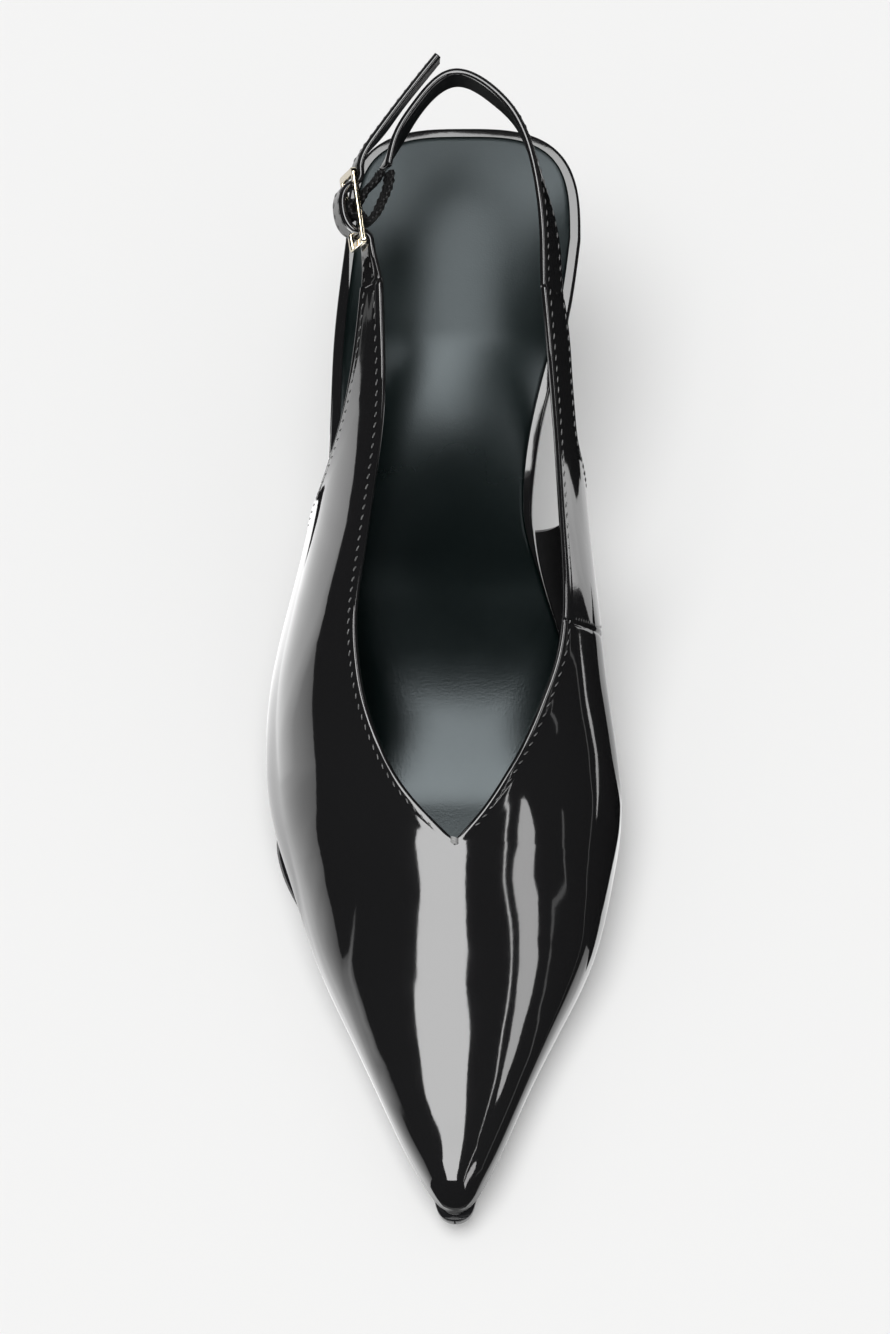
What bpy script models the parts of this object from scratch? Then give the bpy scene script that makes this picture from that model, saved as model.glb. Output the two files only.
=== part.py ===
"""Right slingback shoe: pointed patent upper with a V throat, buckled sling strap and slim covered heel."""
import math

import bmesh
import bpy
import numpy as np
from mathutils import Matrix

# Driving dimensions, in millimetres and degrees. Places are given as x towards the medial side, the distance
# behind the toe tip along the floor, and the height above the floor.
MM = 0.001
GAP = 0.3
LATERAL, MEDIAL = -1, 1

SHOE_LENGTH = 249.0
HEEL_HEIGHT = 66.0
SEAT_PITCH = 9.0
TOE_SPRING = 6.0
TREAD_START, TREAD_END = 56.0, 101.0
HEEL_BREAST = 200.0
SEAT_CENTRE, SEAT_HALF_WIDTH, SEAT_SHIFT, SEAT_SQUARENESS = 222.0, 27.8, 1.2, 3.1

OUTSOLE_THICKNESS = 2.4
INSOLE_THICKNESS = 3.2
UPPER_THICKNESS = 1.6
STRAP_THICKNESS, STRAP_WIDTH, STRAP_JOIN = 1.6, 9.0, 0.5
ELASTIC_THICKNESS, ELASTIC_WIDTH = 0.9, 7.4
TOP_PIECE_THICKNESS = 6.0

THROAT = 81.0
QUARTER_END = 195.0
QUARTER_LEAVES_SOLE = {LATERAL: 150.0, MEDIAL: 159.5}
BULGE_CLIMB = 0.3

# Sections across the last: the feather line where the upper turns under, the widest bulge, how far
# bulge and ridge stand above the feather line, and how far the ridge lies to the medial side.
LAST_COLUMNS = ("behind_toe", "feather_lateral", "feather_medial", "bulge_lateral", "bulge_medial",
                "bulge_rise", "ridge_rise", "ridge_shift")
LAST_SECTIONS = (
    (0, 0, 0, 0, 0, 0, 0, 0),
    (4, 4.3, 4.3, 5.6, 5.6, 3.2, 6.2, 0),
    (8, 6.3, 6.0, 8.2, 7.9, 4.5, 9.4, 0),
    (12, 8.0, 7.4, 10.5, 9.9, 5.1, 10.8, 0),
    (30, 15.9, 14.4, 19.2, 17.6, 7.6, 15.0, 0),
    (46, 23.3, 21.8, 26.9, 25.4, 9.4, 20.4, 0),
    (60, 29.3, 28.0, 33.4, 32.0, 11.8, 27.0, 0),
    (80, 36.0, 33.2, 40.1, 36.8, 13.0, 38.0, 0),
    (95, 40.2, 35.2, 44.6, 38.7, 14.0, 42.5, 0.3),
    (110, 41.8, 34.0, 46.0, 37.6, 15.0, 45.0, 0.6),
    (125, 40.4, 29.6, 44.4, 35.2, 16.0, 46.5, 0.9),
    (140, 36.6, 23.8, 39.8, 33.2, 16.5, 46.6, 1.2),
    (155, 33.0, 18.8, 34.8, 31.2, 17.0, 47.0, 1.5),
    (170, 30.8, 18.4, 31.4, 29.7, 18.0, 48.5, 1.8),
    (185, 29.8, 21.6, 28.6, 28.4, 19.0, 51.0, 2.1),
    (200, 29.0, 25.6, 26.2, 27.2, 20.0, 54.0, 2.4),
    (222, 26.6, 29.0, 23.5, 25.5, 21.0, 57.0, 2.4),
)

# Edges of the upper, as climbs round the section: 0 at the feather line, 1 on the ridge.
TOPLINE_COLUMNS = ("behind_toe", "lateral", "medial")
TOPLINE = (
    (81, 1.0, 1.0),
    (87, 0.932, 0.937),
    (95, 0.866, 0.875),
    (105, 0.816, 0.806),
    (115, 0.778, 0.737),
    (123, 0.757, 0.678),
    (131, 0.741, 0.637),
    (141, 0.738, 0.614),
    (155, 0.741, 0.601),
    (170, 0.751, 0.600),
    (184, 0.722, 0.610),
    (200, 0.672, 0.625),
)
CUT_OUT_COLUMNS = ("behind_leaving", "lateral", "medial")
CUT_OUT = (
    (0, 0.0, 0.0),
    (3, 0.24, 0.25),
    (8, 0.41, 0.41),
    (14, 0.50, 0.435),
    (21, 0.553, 0.437),
    (30, 0.581, 0.442),
    (42, 0.588, 0.505),
    (52, 0.58, 0.52),
)

# Sling strap from the medial quarter round the back, with the inward lean of its upper edge.
SLING_COLUMNS = ("x", "behind_toe", "height", "lean", "width")
SLING_ROUTE = (
    (22.0, 207.0, 104.5, 20, 9.0),
    (19.8, 217.5, 109.5, 10, 9.0),
    (14.9, 230.3, 113.8, 5, 9.0),
    (9.9, 235.7, 115.3, 4, 9.0),
    (0.6, 240.2, 116.0, 5, 9.0),
    (-8.1, 233.4, 114.0, 6, 9.0),
    (-12.2, 227.0, 112.0, 3, 9.0),
)

# Buckle frame, and the routes through it as distances along the strap and outwards from its middle bar.
BUCKLE_CENTRE = (-22.5, 210.5, 108.5)
BUCKLE_DIRECTION = (-2.6, 17.0, 5.0)
BUCKLE_LEAN = 12.0
BUCKLE_LENGTH, BUCKLE_HEIGHT, BUCKLE_THICKNESS = 17.6, 14.2, 1.3
BUCKLE_BAR, BUCKLE_MIDDLE_BAR, BUCKLE_ROUNDING = 1.6, 1.2, 0.3
TONGUE_ROUTE = (
    (-8.7, -2.2),
    (-6.9, -2.0),
    (-5.9, -1.1),
    (-5.1, 0.9),
    (-3.1, 2.6),
    (0, 3.1),
    (3.1, 2.6),
    (5.1, 0.9),
    (5.9, -1.1),
    (6.9, -2.0),
    (8.7, -2.3),
)
TONGUE_HOLE = (-2.6, -6.0)
TAIL_COLUMNS = ("x", "behind_toe", "height", "lean")
TAIL_ROUTE = (
    (-17.2, 226.6, 113.5, 12),
    (-12.6, 232.4, 115.5, 12),
    (-6.8, 239.6, 117.5, 12),
    (-3.3, 243.9, 118.5, 12),
)
ELASTIC_REAR_STRAND = ((8.0, -7.7), (5.6, -5.6), (3.0, -2.6))
ELASTIC_TURN_RADIUS, ELASTIC_TURN = 1.55, (-35.0, 215.0)
ELASTIC_FRONT_STRAND = ((-3.2, -2.2), (-2.4, -4.2), (1.0, -6.8), (5.0, -9.0), (7.7, -9.6))
ELASTIC_SLOT_DEPTH = -3.2
SLING_END = (8.9, -8.9)
PRONG_WIRE, PRONG_TURN_RADIUS, PRONG_TURN = 0.45, 1.55, (-150.0, 90.0)
PRONG_REACH = ((-3.5, 1.5), (-7.0, 1.42), (-9.0, 1.4))
SLOT_HALF_WIDTH = 1.1

# Heel sections from the seat down to the top piece.
HEEL_SIDES, HEEL_EDGE_ANGLE = 28, math.radians(50.0)
HEEL_COLUMNS = ("down", "half_width", "back", "front")
HEEL_SECTIONS = (
    (0.0, 26.0, 246.0, 200.8),
    (0.06, 24.6, 245.8, 202.0),
    (0.18, 19.2, 244.4, 206.8),
    (0.36, 13.0, 241.4, 213.0),
    (0.60, 8.4, 238.4, 218.6),
    (0.82, 6.4, 236.8, 221.6),
    (1.0, 5.8, 236.2, 222.8),
)


def spline(keys, values):
    """A function through one column of a table, with even bending between its rows."""
    keys = np.asarray(keys, float)
    values = np.asarray(values, float)
    steps = np.diff(keys)
    rises = np.diff(values, axis=0) / steps.reshape((-1,) + (1,) * (values.ndim - 1))
    count = len(keys)
    matrix = np.eye(count)
    right = np.zeros_like(values)
    for row in range(1, count - 1):
        matrix[row, row - 1:row + 2] = steps[row - 1], 2 * (steps[row - 1] + steps[row]), steps[row]
        right[row] = 3 * (rises[row] - rises[row - 1])
    bends = np.linalg.solve(matrix, right)

    def value(key):
        cell = int(np.clip(np.searchsorted(keys, key) - 1, 0, count - 2))
        past = np.clip(key, keys[0], keys[-1]) - keys[cell]
        step = steps[cell]
        slope = rises[cell] - step * (2 * bends[cell] + bends[cell + 1]) / 3
        twist = (bends[cell + 1] - bends[cell]) / (3 * step)
        return values[cell] + past * (slope + past * (bends[cell] + past * twist))

    return value


def columns_of(names, rows, key, key_scale):
    """One spline for each column of a table, along its key column."""
    keys = [key_scale(row[names.index(key)]) for row in rows]
    return {name: spline(keys, [row[names.index(name)] for row in rows]) for name in names if name != key}


LAST = columns_of(LAST_COLUMNS, LAST_SECTIONS, "behind_toe", math.sqrt)
TOP_EDGE = columns_of(TOPLINE_COLUMNS, TOPLINE, "behind_toe", float)
LOW_EDGE = columns_of(CUT_OUT_COLUMNS, CUT_OUT, "behind_leaving", math.sqrt)
HEEL = columns_of(HEEL_COLUMNS, HEEL_SECTIONS, "down", math.sqrt)


def side_name(side):
    return "lateral" if side == LATERAL else "medial"


def last_size(name, behind_toe):
    return float(LAST[name](math.sqrt(max(behind_toe, 0.0))))


def sole_height(behind_toe):
    """The outsole's underside: toe spring, flat tread, arch, then the straight pitch of the heel seat."""
    pitch = math.tan(math.radians(SEAT_PITCH))
    breast_height = HEEL_HEIGHT - pitch * (SHOE_LENGTH - HEEL_BREAST)
    if behind_toe < TREAD_START:
        return TOE_SPRING * ((TREAD_START - behind_toe) / TREAD_START) ** 2
    if behind_toe <= TREAD_END:
        return 0.0
    if behind_toe > HEEL_BREAST:
        return breast_height + pitch * (behind_toe - HEEL_BREAST)
    run = HEEL_BREAST - TREAD_END
    share = (behind_toe - TREAD_END) / run
    return breast_height * share ** 2 * (3 - 2 * share) + pitch * run * share ** 2 * (share - 1)


def height_over_sole(behind_toe, thickness):
    """The height of a layer that lies this far above the outsole's underside, square to its slope."""
    slope = (sole_height(behind_toe + 0.5) - sole_height(behind_toe - 0.5))
    return sole_height(behind_toe) + thickness * math.hypot(1.0, slope)


def feather_height(behind_toe):
    return height_over_sole(behind_toe, OUTSOLE_THICKNESS + GAP)


def feather_x(side, behind_toe):
    """The feather line in plan: the last's own edge, closed by the rounded heel seat."""
    if behind_toe <= SEAT_CENTRE:
        return side * last_size("feather_" + side_name(side), behind_toe)
    reach = min((behind_toe - SEAT_CENTRE) / (SHOE_LENGTH - SEAT_CENTRE), 1.0)
    share = (1.0 - reach ** SEAT_SQUARENESS) ** (1.0 / SEAT_SQUARENESS)
    return SEAT_SHIFT + side * SEAT_HALF_WIDTH * share


def last_point(side, behind_toe, climb):
    """A point on the last, from the feather line (climb 0) over the bulge to the ridge (climb 1)."""
    feather = abs(feather_x(side, behind_toe))
    bulge = last_size("bulge_" + side_name(side), behind_toe)
    bulge_rise = last_size("bulge_rise", behind_toe)
    ridge_rise = last_size("ridge_rise", behind_toe)
    shift = last_size("ridge_shift", behind_toe)
    if climb < BULGE_CLIMB:
        turn = math.pi / 2 * climb / BULGE_CLIMB
        x = side * (feather + (bulge - feather) * math.sin(turn))
        rise = bulge_rise * (1.0 - math.cos(turn))
    else:
        turn = math.pi / 2 * (climb - BULGE_CLIMB) / (1.0 - BULGE_CLIMB)
        x = shift + (side * bulge - shift) * math.cos(turn)
        rise = bulge_rise + (ridge_rise - bulge_rise) * math.sin(turn)
    return np.array((x, behind_toe, feather_height(behind_toe) + rise))


def quarter_edges(side, behind_toe):
    """The climbs of the upper's lower and upper edge at a section."""
    top = float(TOP_EDGE[side_name(side)](behind_toe)) if behind_toe > THROAT else 1.0
    behind = behind_toe - QUARTER_LEAVES_SOLE[side]
    low = float(LOW_EDGE[side_name(side)](math.sqrt(behind))) if behind > 0 else 0.0
    return low, top


def direction(vector):
    return np.asarray(vector, float) / np.linalg.norm(vector)


def route_through(points, count):
    """Points at even steps on a smooth curve through a short list of points."""
    points = np.array(points, float)
    lengths = np.concatenate(([0.0], np.cumsum(np.linalg.norm(np.diff(points, axis=0), axis=1))))
    curve = spline(lengths, points)
    return np.array([curve(length) for length in np.linspace(0.0, lengths[-1], count)])


def clear_scene():
    for obj in list(bpy.data.objects):
        bpy.data.objects.remove(obj, do_unlink=True)


def material(name, colour, roughness, metallic=0.0):
    made = bpy.data.materials.new(name)
    made.use_nodes = True
    shader = made.node_tree.nodes["Principled BSDF"]
    shader.inputs["Base Color"].default_value = (*colour, 1.0)
    shader.inputs["Roughness"].default_value = roughness
    shader.inputs["Metallic"].default_value = metallic
    return made


def add_piece(data, finish, solidify=None):
    """Adds an object named for its data to the shoe's collection, walled where it is an open surface."""
    piece = bpy.data.objects.new(data.name, data)
    bpy.data.collections["slingback_shoe"].objects.link(piece)
    piece.parent = bpy.data.objects["shoe_frame"]
    data.materials.append(finish)
    if solidify:
        thickness, offset = solidify
        wall = piece.modifiers.new("wall", "SOLIDIFY")
        wall.thickness = thickness * MM
        wall.offset = offset
        wall.use_quality_normals = True
    return piece


def mesh_from(name, bm):
    """A smooth-shaded mesh from a bmesh in millimetres, with coinciding points made one."""
    bmesh.ops.scale(bm, vec=(MM, MM, MM), verts=bm.verts)
    bmesh.ops.remove_doubles(bm, verts=bm.verts, dist=1e-6)
    bmesh.ops.dissolve_degenerate(bm, edges=bm.edges, dist=1e-6)
    mesh = bpy.data.meshes.new(name)
    bm.to_mesh(mesh)
    bm.free()
    mesh.shade_smooth()
    return mesh


def surface(bm, rows):
    """Quads between rows of points."""
    grid = [[bm.verts.new(point) for point in row] for row in rows]
    for row, following in zip(grid, grid[1:]):
        for column in range(len(row) - 1):
            bm.faces.new((row[column], row[column + 1], following[column + 1], following[column]))
    return grid


def strip_between(name, low_edge, top_edge, shares, hole_rows=()):
    """A flat band between two edges, with its middle strip left out along some rows."""
    bm = bmesh.new()
    rows = [[low + (top - low) * share for share in shares] for low, top in zip(low_edge, top_edge)]
    surface(bm, rows)
    bm.faces.ensure_lookup_table()
    strips = len(shares) - 1
    holes = [bm.faces[row * strips + strips // 2] for row in hole_rows]
    bmesh.ops.delete(bm, geom=holes, context="FACES")
    return mesh_from(name, bm)


def plan_edge(side, behind_toe, margin):
    """A point of the feather line in plan, moved out square to it by a margin."""
    step = 0.05
    fore = max(behind_toe - step, 0.0)
    aft = min(behind_toe + step, SHOE_LENGTH)
    run = np.array((feather_x(side, aft) - feather_x(side, fore), aft - fore))
    outward = side * direction((run[1], -run[0]))
    return np.array((feather_x(side, behind_toe), behind_toe)) + margin * outward


def sole_layer(name, stations, margin_at, underside, columns):
    """A surface over the sole's plan, laid at a height above the outsole's underside."""
    bm = bmesh.new()
    rows = []
    for behind_toe in stations:
        lateral = plan_edge(LATERAL, behind_toe, margin_at(LATERAL, behind_toe))
        medial = plan_edge(MEDIAL, behind_toe, margin_at(MEDIAL, behind_toe))
        row = []
        for share in np.linspace(0.0, 1.0, columns):
            x, y = lateral + (medial - lateral) * share
            row.append((x, y, height_over_sole(y, underside)))
        rows.append(row)
    surface(bm, rows)
    return mesh_from(name, bm)


def ease(value, start, end):
    share = min(max((value - start) / (end - start), 0.0), 1.0)
    return share * share * (3.0 - 2.0 * share)


def outsole():
    """Thin sole, proud of the upper at the toe tip and the lateral ball, tucked under at the waist."""
    stand_out, tip_more, ball_more, tuck_in, columns, rows = 0.5, 1.4, 4.3, -1.6, 7, 44

    def margin(side, behind_toe):
        tip = tip_more * (1.0 - ease(behind_toe, 3.0, 12.0))
        ball = ball_more * ease(behind_toe, 62.0, 88.0) * (1.0 - ease(behind_toe, 90.0, 110.0))
        tuck = (tuck_in - stand_out) * ease(behind_toe, 110.0, 165.0)
        return stand_out + tip + tuck + (ball if side == LATERAL else 0.0)

    turns = np.linspace(0.0, math.pi / 2, rows)
    stations = (HEEL_BREAST - GAP) * (1.0 - np.cos(turns))
    mesh = sole_layer("outsole", stations, margin, 0.0, columns)
    add_piece(mesh, material("black_sole_leather", (0.012, 0.012, 0.013), 0.45), (OUTSOLE_THICKNESS, 1.0))


def insole():
    """Board inside the lasted upper, wrapped in patent leather where its rim shows at waist and seat."""
    inside_upper, toe_start, widens_over, columns, rows = -2.6, 5.0, 12.0, 7, 52

    def margin(side, behind_toe):
        leaves = QUARTER_LEAVES_SOLE[side]
        return inside_upper * (1.0 - ease(behind_toe, leaves, leaves + widens_over))

    shares = (1.0 - np.cos(np.linspace(0.0, math.pi, rows))) / 2
    stations = toe_start + (SHOE_LENGTH - toe_start) * shares
    mesh = sole_layer("insole", stations, margin, OUTSOLE_THICKNESS + GAP, columns)
    add_piece(mesh, material("patent_insole_wrap", (0.01, 0.01, 0.011), 0.12), (INSOLE_THICKNESS, 1.0))


def heel_ring(down, sides):
    """A rounded D across the heel, which follows the insole at the top and lies level at the bottom."""
    widest_share, round_power, breast_power = 0.45, 0.75, 0.55
    key = math.sqrt(down)
    half_width, back, front = (float(HEEL[name](key)) for name in ("half_width", "back", "front"))
    middle = front + widest_share * (back - front)
    ring = []
    for turn in np.linspace(0.0, 2 * math.pi, sides, endpoint=False):
        along, across = math.sin(turn), math.cos(turn)
        depth, power = (back - middle, round_power) if along > 0 else (middle - front, breast_power)
        x = SEAT_SHIFT + half_width * math.copysign(abs(across) ** round_power, across)
        y = middle + depth * math.copysign(abs(along) ** power, along)
        top = feather_height(y) - GAP
        ring.append((x, y, top + (TOP_PIECE_THICKNESS + GAP - top) * down))
    return ring


def tube_of_rings(bm, rings):
    """A closed solid through rings of equal count, capped at both ends."""
    loops = [[bm.verts.new(point) for point in ring] for ring in rings]
    count = len(loops[0])
    for loop, following in zip(loops, loops[1:]):
        for index in range(count):
            after = (index + 1) % count
            bm.faces.new((loop[index], loop[after], following[after], following[index]))
    bm.faces.new(loops[0])
    bm.faces.new(reversed(loops[-1]))
    bmesh.ops.recalc_face_normals(bm, faces=bm.faces)


def heel():
    """Slim block that sweeps in from the seat to the small top piece."""
    bm = bmesh.new()
    levels = np.linspace(0.0, 1.0, 13) ** 1.4
    tube_of_rings(bm, [heel_ring(down, HEEL_SIDES) for down in levels])
    mesh = mesh_from("heel", bm)
    mesh.set_sharp_from_angle(angle=HEEL_EDGE_ANGLE)
    add_piece(mesh, material("patent_heel_cover", (0.01, 0.01, 0.011), 0.12))


def top_piece():
    """Hard lift under the heel, flat on the floor."""
    bm = bmesh.new()
    foot = [(x, y, 0.0) for x, y, _ in heel_ring(1.0, HEEL_SIDES)]
    head = [(x, y, TOP_PIECE_THICKNESS) for x, y, _ in foot]
    tube_of_rings(bm, [head, foot])
    mesh = mesh_from("top_piece", bm)
    mesh.set_sharp_from_angle(angle=HEEL_EDGE_ANGLE)
    add_piece(mesh, material("black_rubber", (0.02, 0.02, 0.02), 0.6))


def upper_stations(side):
    """Sections through the upper, close together at toe and throat and where the quarter leaves the sole."""
    leaves = QUARTER_LEAVES_SOLE[side]
    toe = THROAT * np.linspace(0.0, 1.0, 21) ** 2
    throat = THROAT + (leaves - THROAT) * np.linspace(0.0, 1.0, 18)[1:] ** 1.2
    quarter = leaves + (QUARTER_END - leaves) * np.linspace(0.0, 1.0, 20)[1:] ** 1.8
    return np.concatenate((toe, throat, quarter))


def upper():
    """Vamp and quarters as one wall over the last, open at throat, heel, cut-outs and underneath."""
    columns = 9
    bm = bmesh.new()
    for side in (LATERAL, MEDIAL):
        rows = []
        for behind_toe in upper_stations(side):
            low, top = quarter_edges(side, behind_toe)
            climbs = np.linspace(low, top, columns)[::-side]
            rows.append([last_point(side, behind_toe, climb) for climb in climbs])
        surface(bm, rows)
    mesh = mesh_from("upper", bm)
    add_piece(mesh, material("black_patent_leather", (0.01, 0.01, 0.011), 0.1), (UPPER_THICKNESS, -1.0))


def quarter_end_band(side):
    """Lower and upper corner of a quarter's rear end, in the middle of its wall."""
    low, top = quarter_edges(side, QUARTER_END)
    middle = (low + top) / 2
    rise = last_point(side, QUARTER_END, top) - last_point(side, QUARTER_END, low)
    run = last_point(side, QUARTER_END, middle) - last_point(side, QUARTER_END - 2.0, middle)
    inward = direction(np.cross(rise, run) * side)
    ahead = direction(run) * STRAP_JOIN
    shift = inward * UPPER_THICKNESS / 2 + ahead
    return last_point(side, QUARTER_END, low) + shift, last_point(side, QUARTER_END, top) + shift


def buckle_axes():
    """Directions along the strap, up its width and outwards at the buckle."""
    along = direction(BUCKLE_DIRECTION)
    lean = math.radians(BUCKLE_LEAN)
    up = np.array((math.sin(lean), 0.0, math.cos(lean)))
    up = direction(up - along * np.dot(along, up))
    return along, up, np.cross(up, along)


def at_buckle(along_distance, out_distance, up_distance=0.0):
    along, up, out = buckle_axes()
    return np.array(BUCKLE_CENTRE) + along * along_distance + up * up_distance + out * out_distance


def leaning_band(centre, run, lean, width, inside):
    """Lower and upper edge of a band whose upper edge leans towards the inside of its loop."""
    run = direction(run)
    flat = direction((run[0], run[1], 0.0))
    inward = inside * np.array((-flat[1], flat[0], 0.0))
    angle = math.radians(lean)
    up = math.cos(angle) * np.array((0.0, 0.0, 1.0)) + math.sin(angle) * inward
    up = direction(up - run * np.dot(up, run))
    return centre - up * width / 2, centre + up * width / 2


def edges_through(bands, count):
    lows, tops = zip(*bands)
    return route_through(lows, count), route_through(tops, count)


def sling_strap():
    """Band that runs on from the medial quarter round the back of the heel to the elastic."""
    start_low, start_top = quarter_end_band(MEDIAL)
    end_up = buckle_axes()[1] * STRAP_WIDTH / 2
    end = at_buckle(*SLING_END)
    centres = [(start_low + start_top) / 2] + [np.array(row[:3]) for row in SLING_ROUTE] + [end]
    bands = [(start_low, start_top)]
    for index, row in enumerate(SLING_ROUTE, start=1):
        lean, width = row[SLING_COLUMNS.index("lean")], row[SLING_COLUMNS.index("width")]
        bands.append(leaning_band(centres[index], centres[index + 1] - centres[index - 1], lean, width, 1))
    bands.append((end - end_up, end + end_up))
    low_edge, top_edge = edges_through(bands, 46)
    mesh = strip_between("sling_strap", low_edge, top_edge, (0.0, 0.5, 1.0))
    add_piece(mesh, material("black_patent_strap", (0.01, 0.01, 0.011), 0.1), (STRAP_THICKNESS, 0.0))


def buckle_strap():
    """Band that runs on from the lateral quarter, over the buckle's middle bar and on as a free tail."""
    bands = [quarter_end_band(LATERAL)]
    up = buckle_axes()[1] * STRAP_WIDTH / 2
    for along, out in TONGUE_ROUTE:
        centre = at_buckle(along, out)
        bands.append((centre - up, centre + up))
    tail = [np.array(row[:3]) for row in TAIL_ROUTE]
    ahead = tail[1:] + [2 * tail[-1] - tail[-2]]
    for row, centre, following in zip(TAIL_ROUTE, tail, ahead):
        lean = row[TAIL_COLUMNS.index("lean")]
        bands.append(leaning_band(centre, following - centre, lean, STRAP_WIDTH, -1))
    low_edge, top_edge = edges_through(bands, 84)
    along_axis = buckle_axes()[0]
    middles = (low_edge + top_edge) / 2 - np.array(BUCKLE_CENTRE)
    places = middles @ along_axis
    first, last = TONGUE_HOLE
    hole_rows = [row for row in range(len(places) - 1) if last < (places[row] + places[row + 1]) / 2 < first]
    half = SLOT_HALF_WIDTH / STRAP_WIDTH
    mesh = strip_between("buckle_strap", low_edge, top_edge, (0.0, 0.5 - half, 0.5 + half, 1.0), hole_rows)
    add_piece(mesh, material("black_patent_tongue", (0.01, 0.01, 0.011), 0.1), (STRAP_THICKNESS, 0.0))


def arc_points(radius, turn, count):
    """Points round the buckle's middle bar, from one angle to another, as distances along and outwards."""
    angles = np.radians(np.linspace(*turn, count))
    return [(radius * math.cos(angle), radius * math.sin(angle)) for angle in angles]


def elastic():
    """Braided band folded round the middle bar, slotted there for the prong."""
    turn = arc_points(ELASTIC_TURN_RADIUS, ELASTIC_TURN, 9)
    path = [*ELASTIC_REAR_STRAND, *turn, *ELASTIC_FRONT_STRAND]
    up = buckle_axes()[1] * ELASTIC_WIDTH / 2
    centres = route_through([at_buckle(along, out) for along, out in path], 56)
    out_axis = buckle_axes()[2]
    outs = (centres - np.array(BUCKLE_CENTRE)) @ out_axis
    hole_rows = [row for row in range(len(outs) - 1) if min(outs[row], outs[row + 1]) > ELASTIC_SLOT_DEPTH]
    half = SLOT_HALF_WIDTH / ELASTIC_WIDTH
    mesh = strip_between("elastic", centres - up, centres + up, (0.0, 0.5 - half, 0.5 + half, 1.0), hole_rows)
    add_piece(mesh, material("black_elastic", (0.015, 0.015, 0.016), 0.8), (ELASTIC_THICKNESS, 0.0))


def rectangle_spline(curve, left, right, bottom, top):
    """A closed rectangular outline in the curve's plane."""
    outline = curve.splines.new("POLY")
    outline.points.add(3)
    corners = ((left, bottom), (right, bottom), (right, top), (left, top))
    for point, (x, y) in zip(outline.points, corners):
        point.co = (x * MM, y * MM, 0.0, 1.0)
    outline.use_cyclic_u = True


def place_at_buckle(piece):
    along, up, out = buckle_axes()
    turn = Matrix((along, up, out)).transposed().to_4x4()
    piece.matrix_local = Matrix.Translation([size * MM for size in BUCKLE_CENTRE]) @ turn


def buckle():
    """Flat rectangular frame with a middle bar, cast in one."""
    curve = bpy.data.curves.new("buckle", "CURVE")
    curve.dimensions = "2D"
    curve.fill_mode = "BOTH"
    curve.extrude = (BUCKLE_THICKNESS / 2 - BUCKLE_ROUNDING) * MM
    curve.bevel_depth = BUCKLE_ROUNDING * MM
    curve.bevel_resolution = 1
    half_length, half_height = BUCKLE_LENGTH / 2 - BUCKLE_ROUNDING, BUCKLE_HEIGHT / 2 - BUCKLE_ROUNDING
    inner = half_length - BUCKLE_BAR + 2 * BUCKLE_ROUNDING
    side = half_height - BUCKLE_BAR + 2 * BUCKLE_ROUNDING
    middle = BUCKLE_MIDDLE_BAR / 2 - BUCKLE_ROUNDING
    rectangle_spline(curve, -half_length, half_length, -half_height, half_height)
    rectangle_spline(curve, -inner, -middle, -side, side)
    rectangle_spline(curve, middle, inner, -side, side)
    piece = add_piece(curve, material("pale_gold", (0.83, 0.72, 0.52), 0.15, 1.0))
    place_at_buckle(piece)


def buckle_prong():
    """Wire hooked round the middle bar that lies over the front bar."""
    path = [*arc_points(PRONG_TURN_RADIUS, PRONG_TURN, 11), *PRONG_REACH]
    curve = bpy.data.curves.new("buckle_prong", "CURVE")
    curve.dimensions = "3D"
    curve.bevel_depth = PRONG_WIRE * MM
    curve.bevel_resolution = 2
    curve.use_fill_caps = True
    wire = curve.splines.new("POLY")
    wire.points.add(len(path) - 1)
    for point, (along, out) in zip(wire.points, path):
        point.co = (along * MM, 0.0, out * MM, 1.0)
    piece = add_piece(curve, material("pale_gold_wire", (0.83, 0.72, 0.52), 0.15, 1.0))
    place_at_buckle(piece)


def stand_on_origin():
    """Moves the shoe so that its origin is the middle of its box, on the floor."""
    bpy.context.view_layer.update()
    graph = bpy.context.evaluated_depsgraph_get()
    corners = []
    for piece in bpy.data.collections["slingback_shoe"].objects:
        shape = piece.evaluated_get(graph).to_mesh()
        corners.extend(piece.matrix_world @ vertex.co for vertex in shape.vertices)
        piece.evaluated_get(graph).to_mesh_clear()
    corners = np.array(corners)
    middle = (corners.min(axis=0) + corners.max(axis=0)) / 2
    bpy.data.objects["shoe_frame"].location = (-middle[0], -middle[1], 0.0)


def build():
    clear_scene()
    parts = bpy.data.collections.new("slingback_shoe")
    bpy.context.scene.collection.children.link(parts)
    frame = bpy.data.objects.new("shoe_frame", None)
    bpy.context.scene.collection.objects.link(frame)
    for make in (outsole, insole, heel, top_piece, upper,
                 sling_strap, buckle_strap, elastic, buckle, buckle_prong):
        make()
    stand_on_origin()


build()
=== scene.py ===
"""Looks of the right slingback shoe: black patent upper, satin sock, pale gold buckle."""
import math

import bmesh
import bpy
import numpy as np
from mathutils import Matrix, Vector


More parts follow.
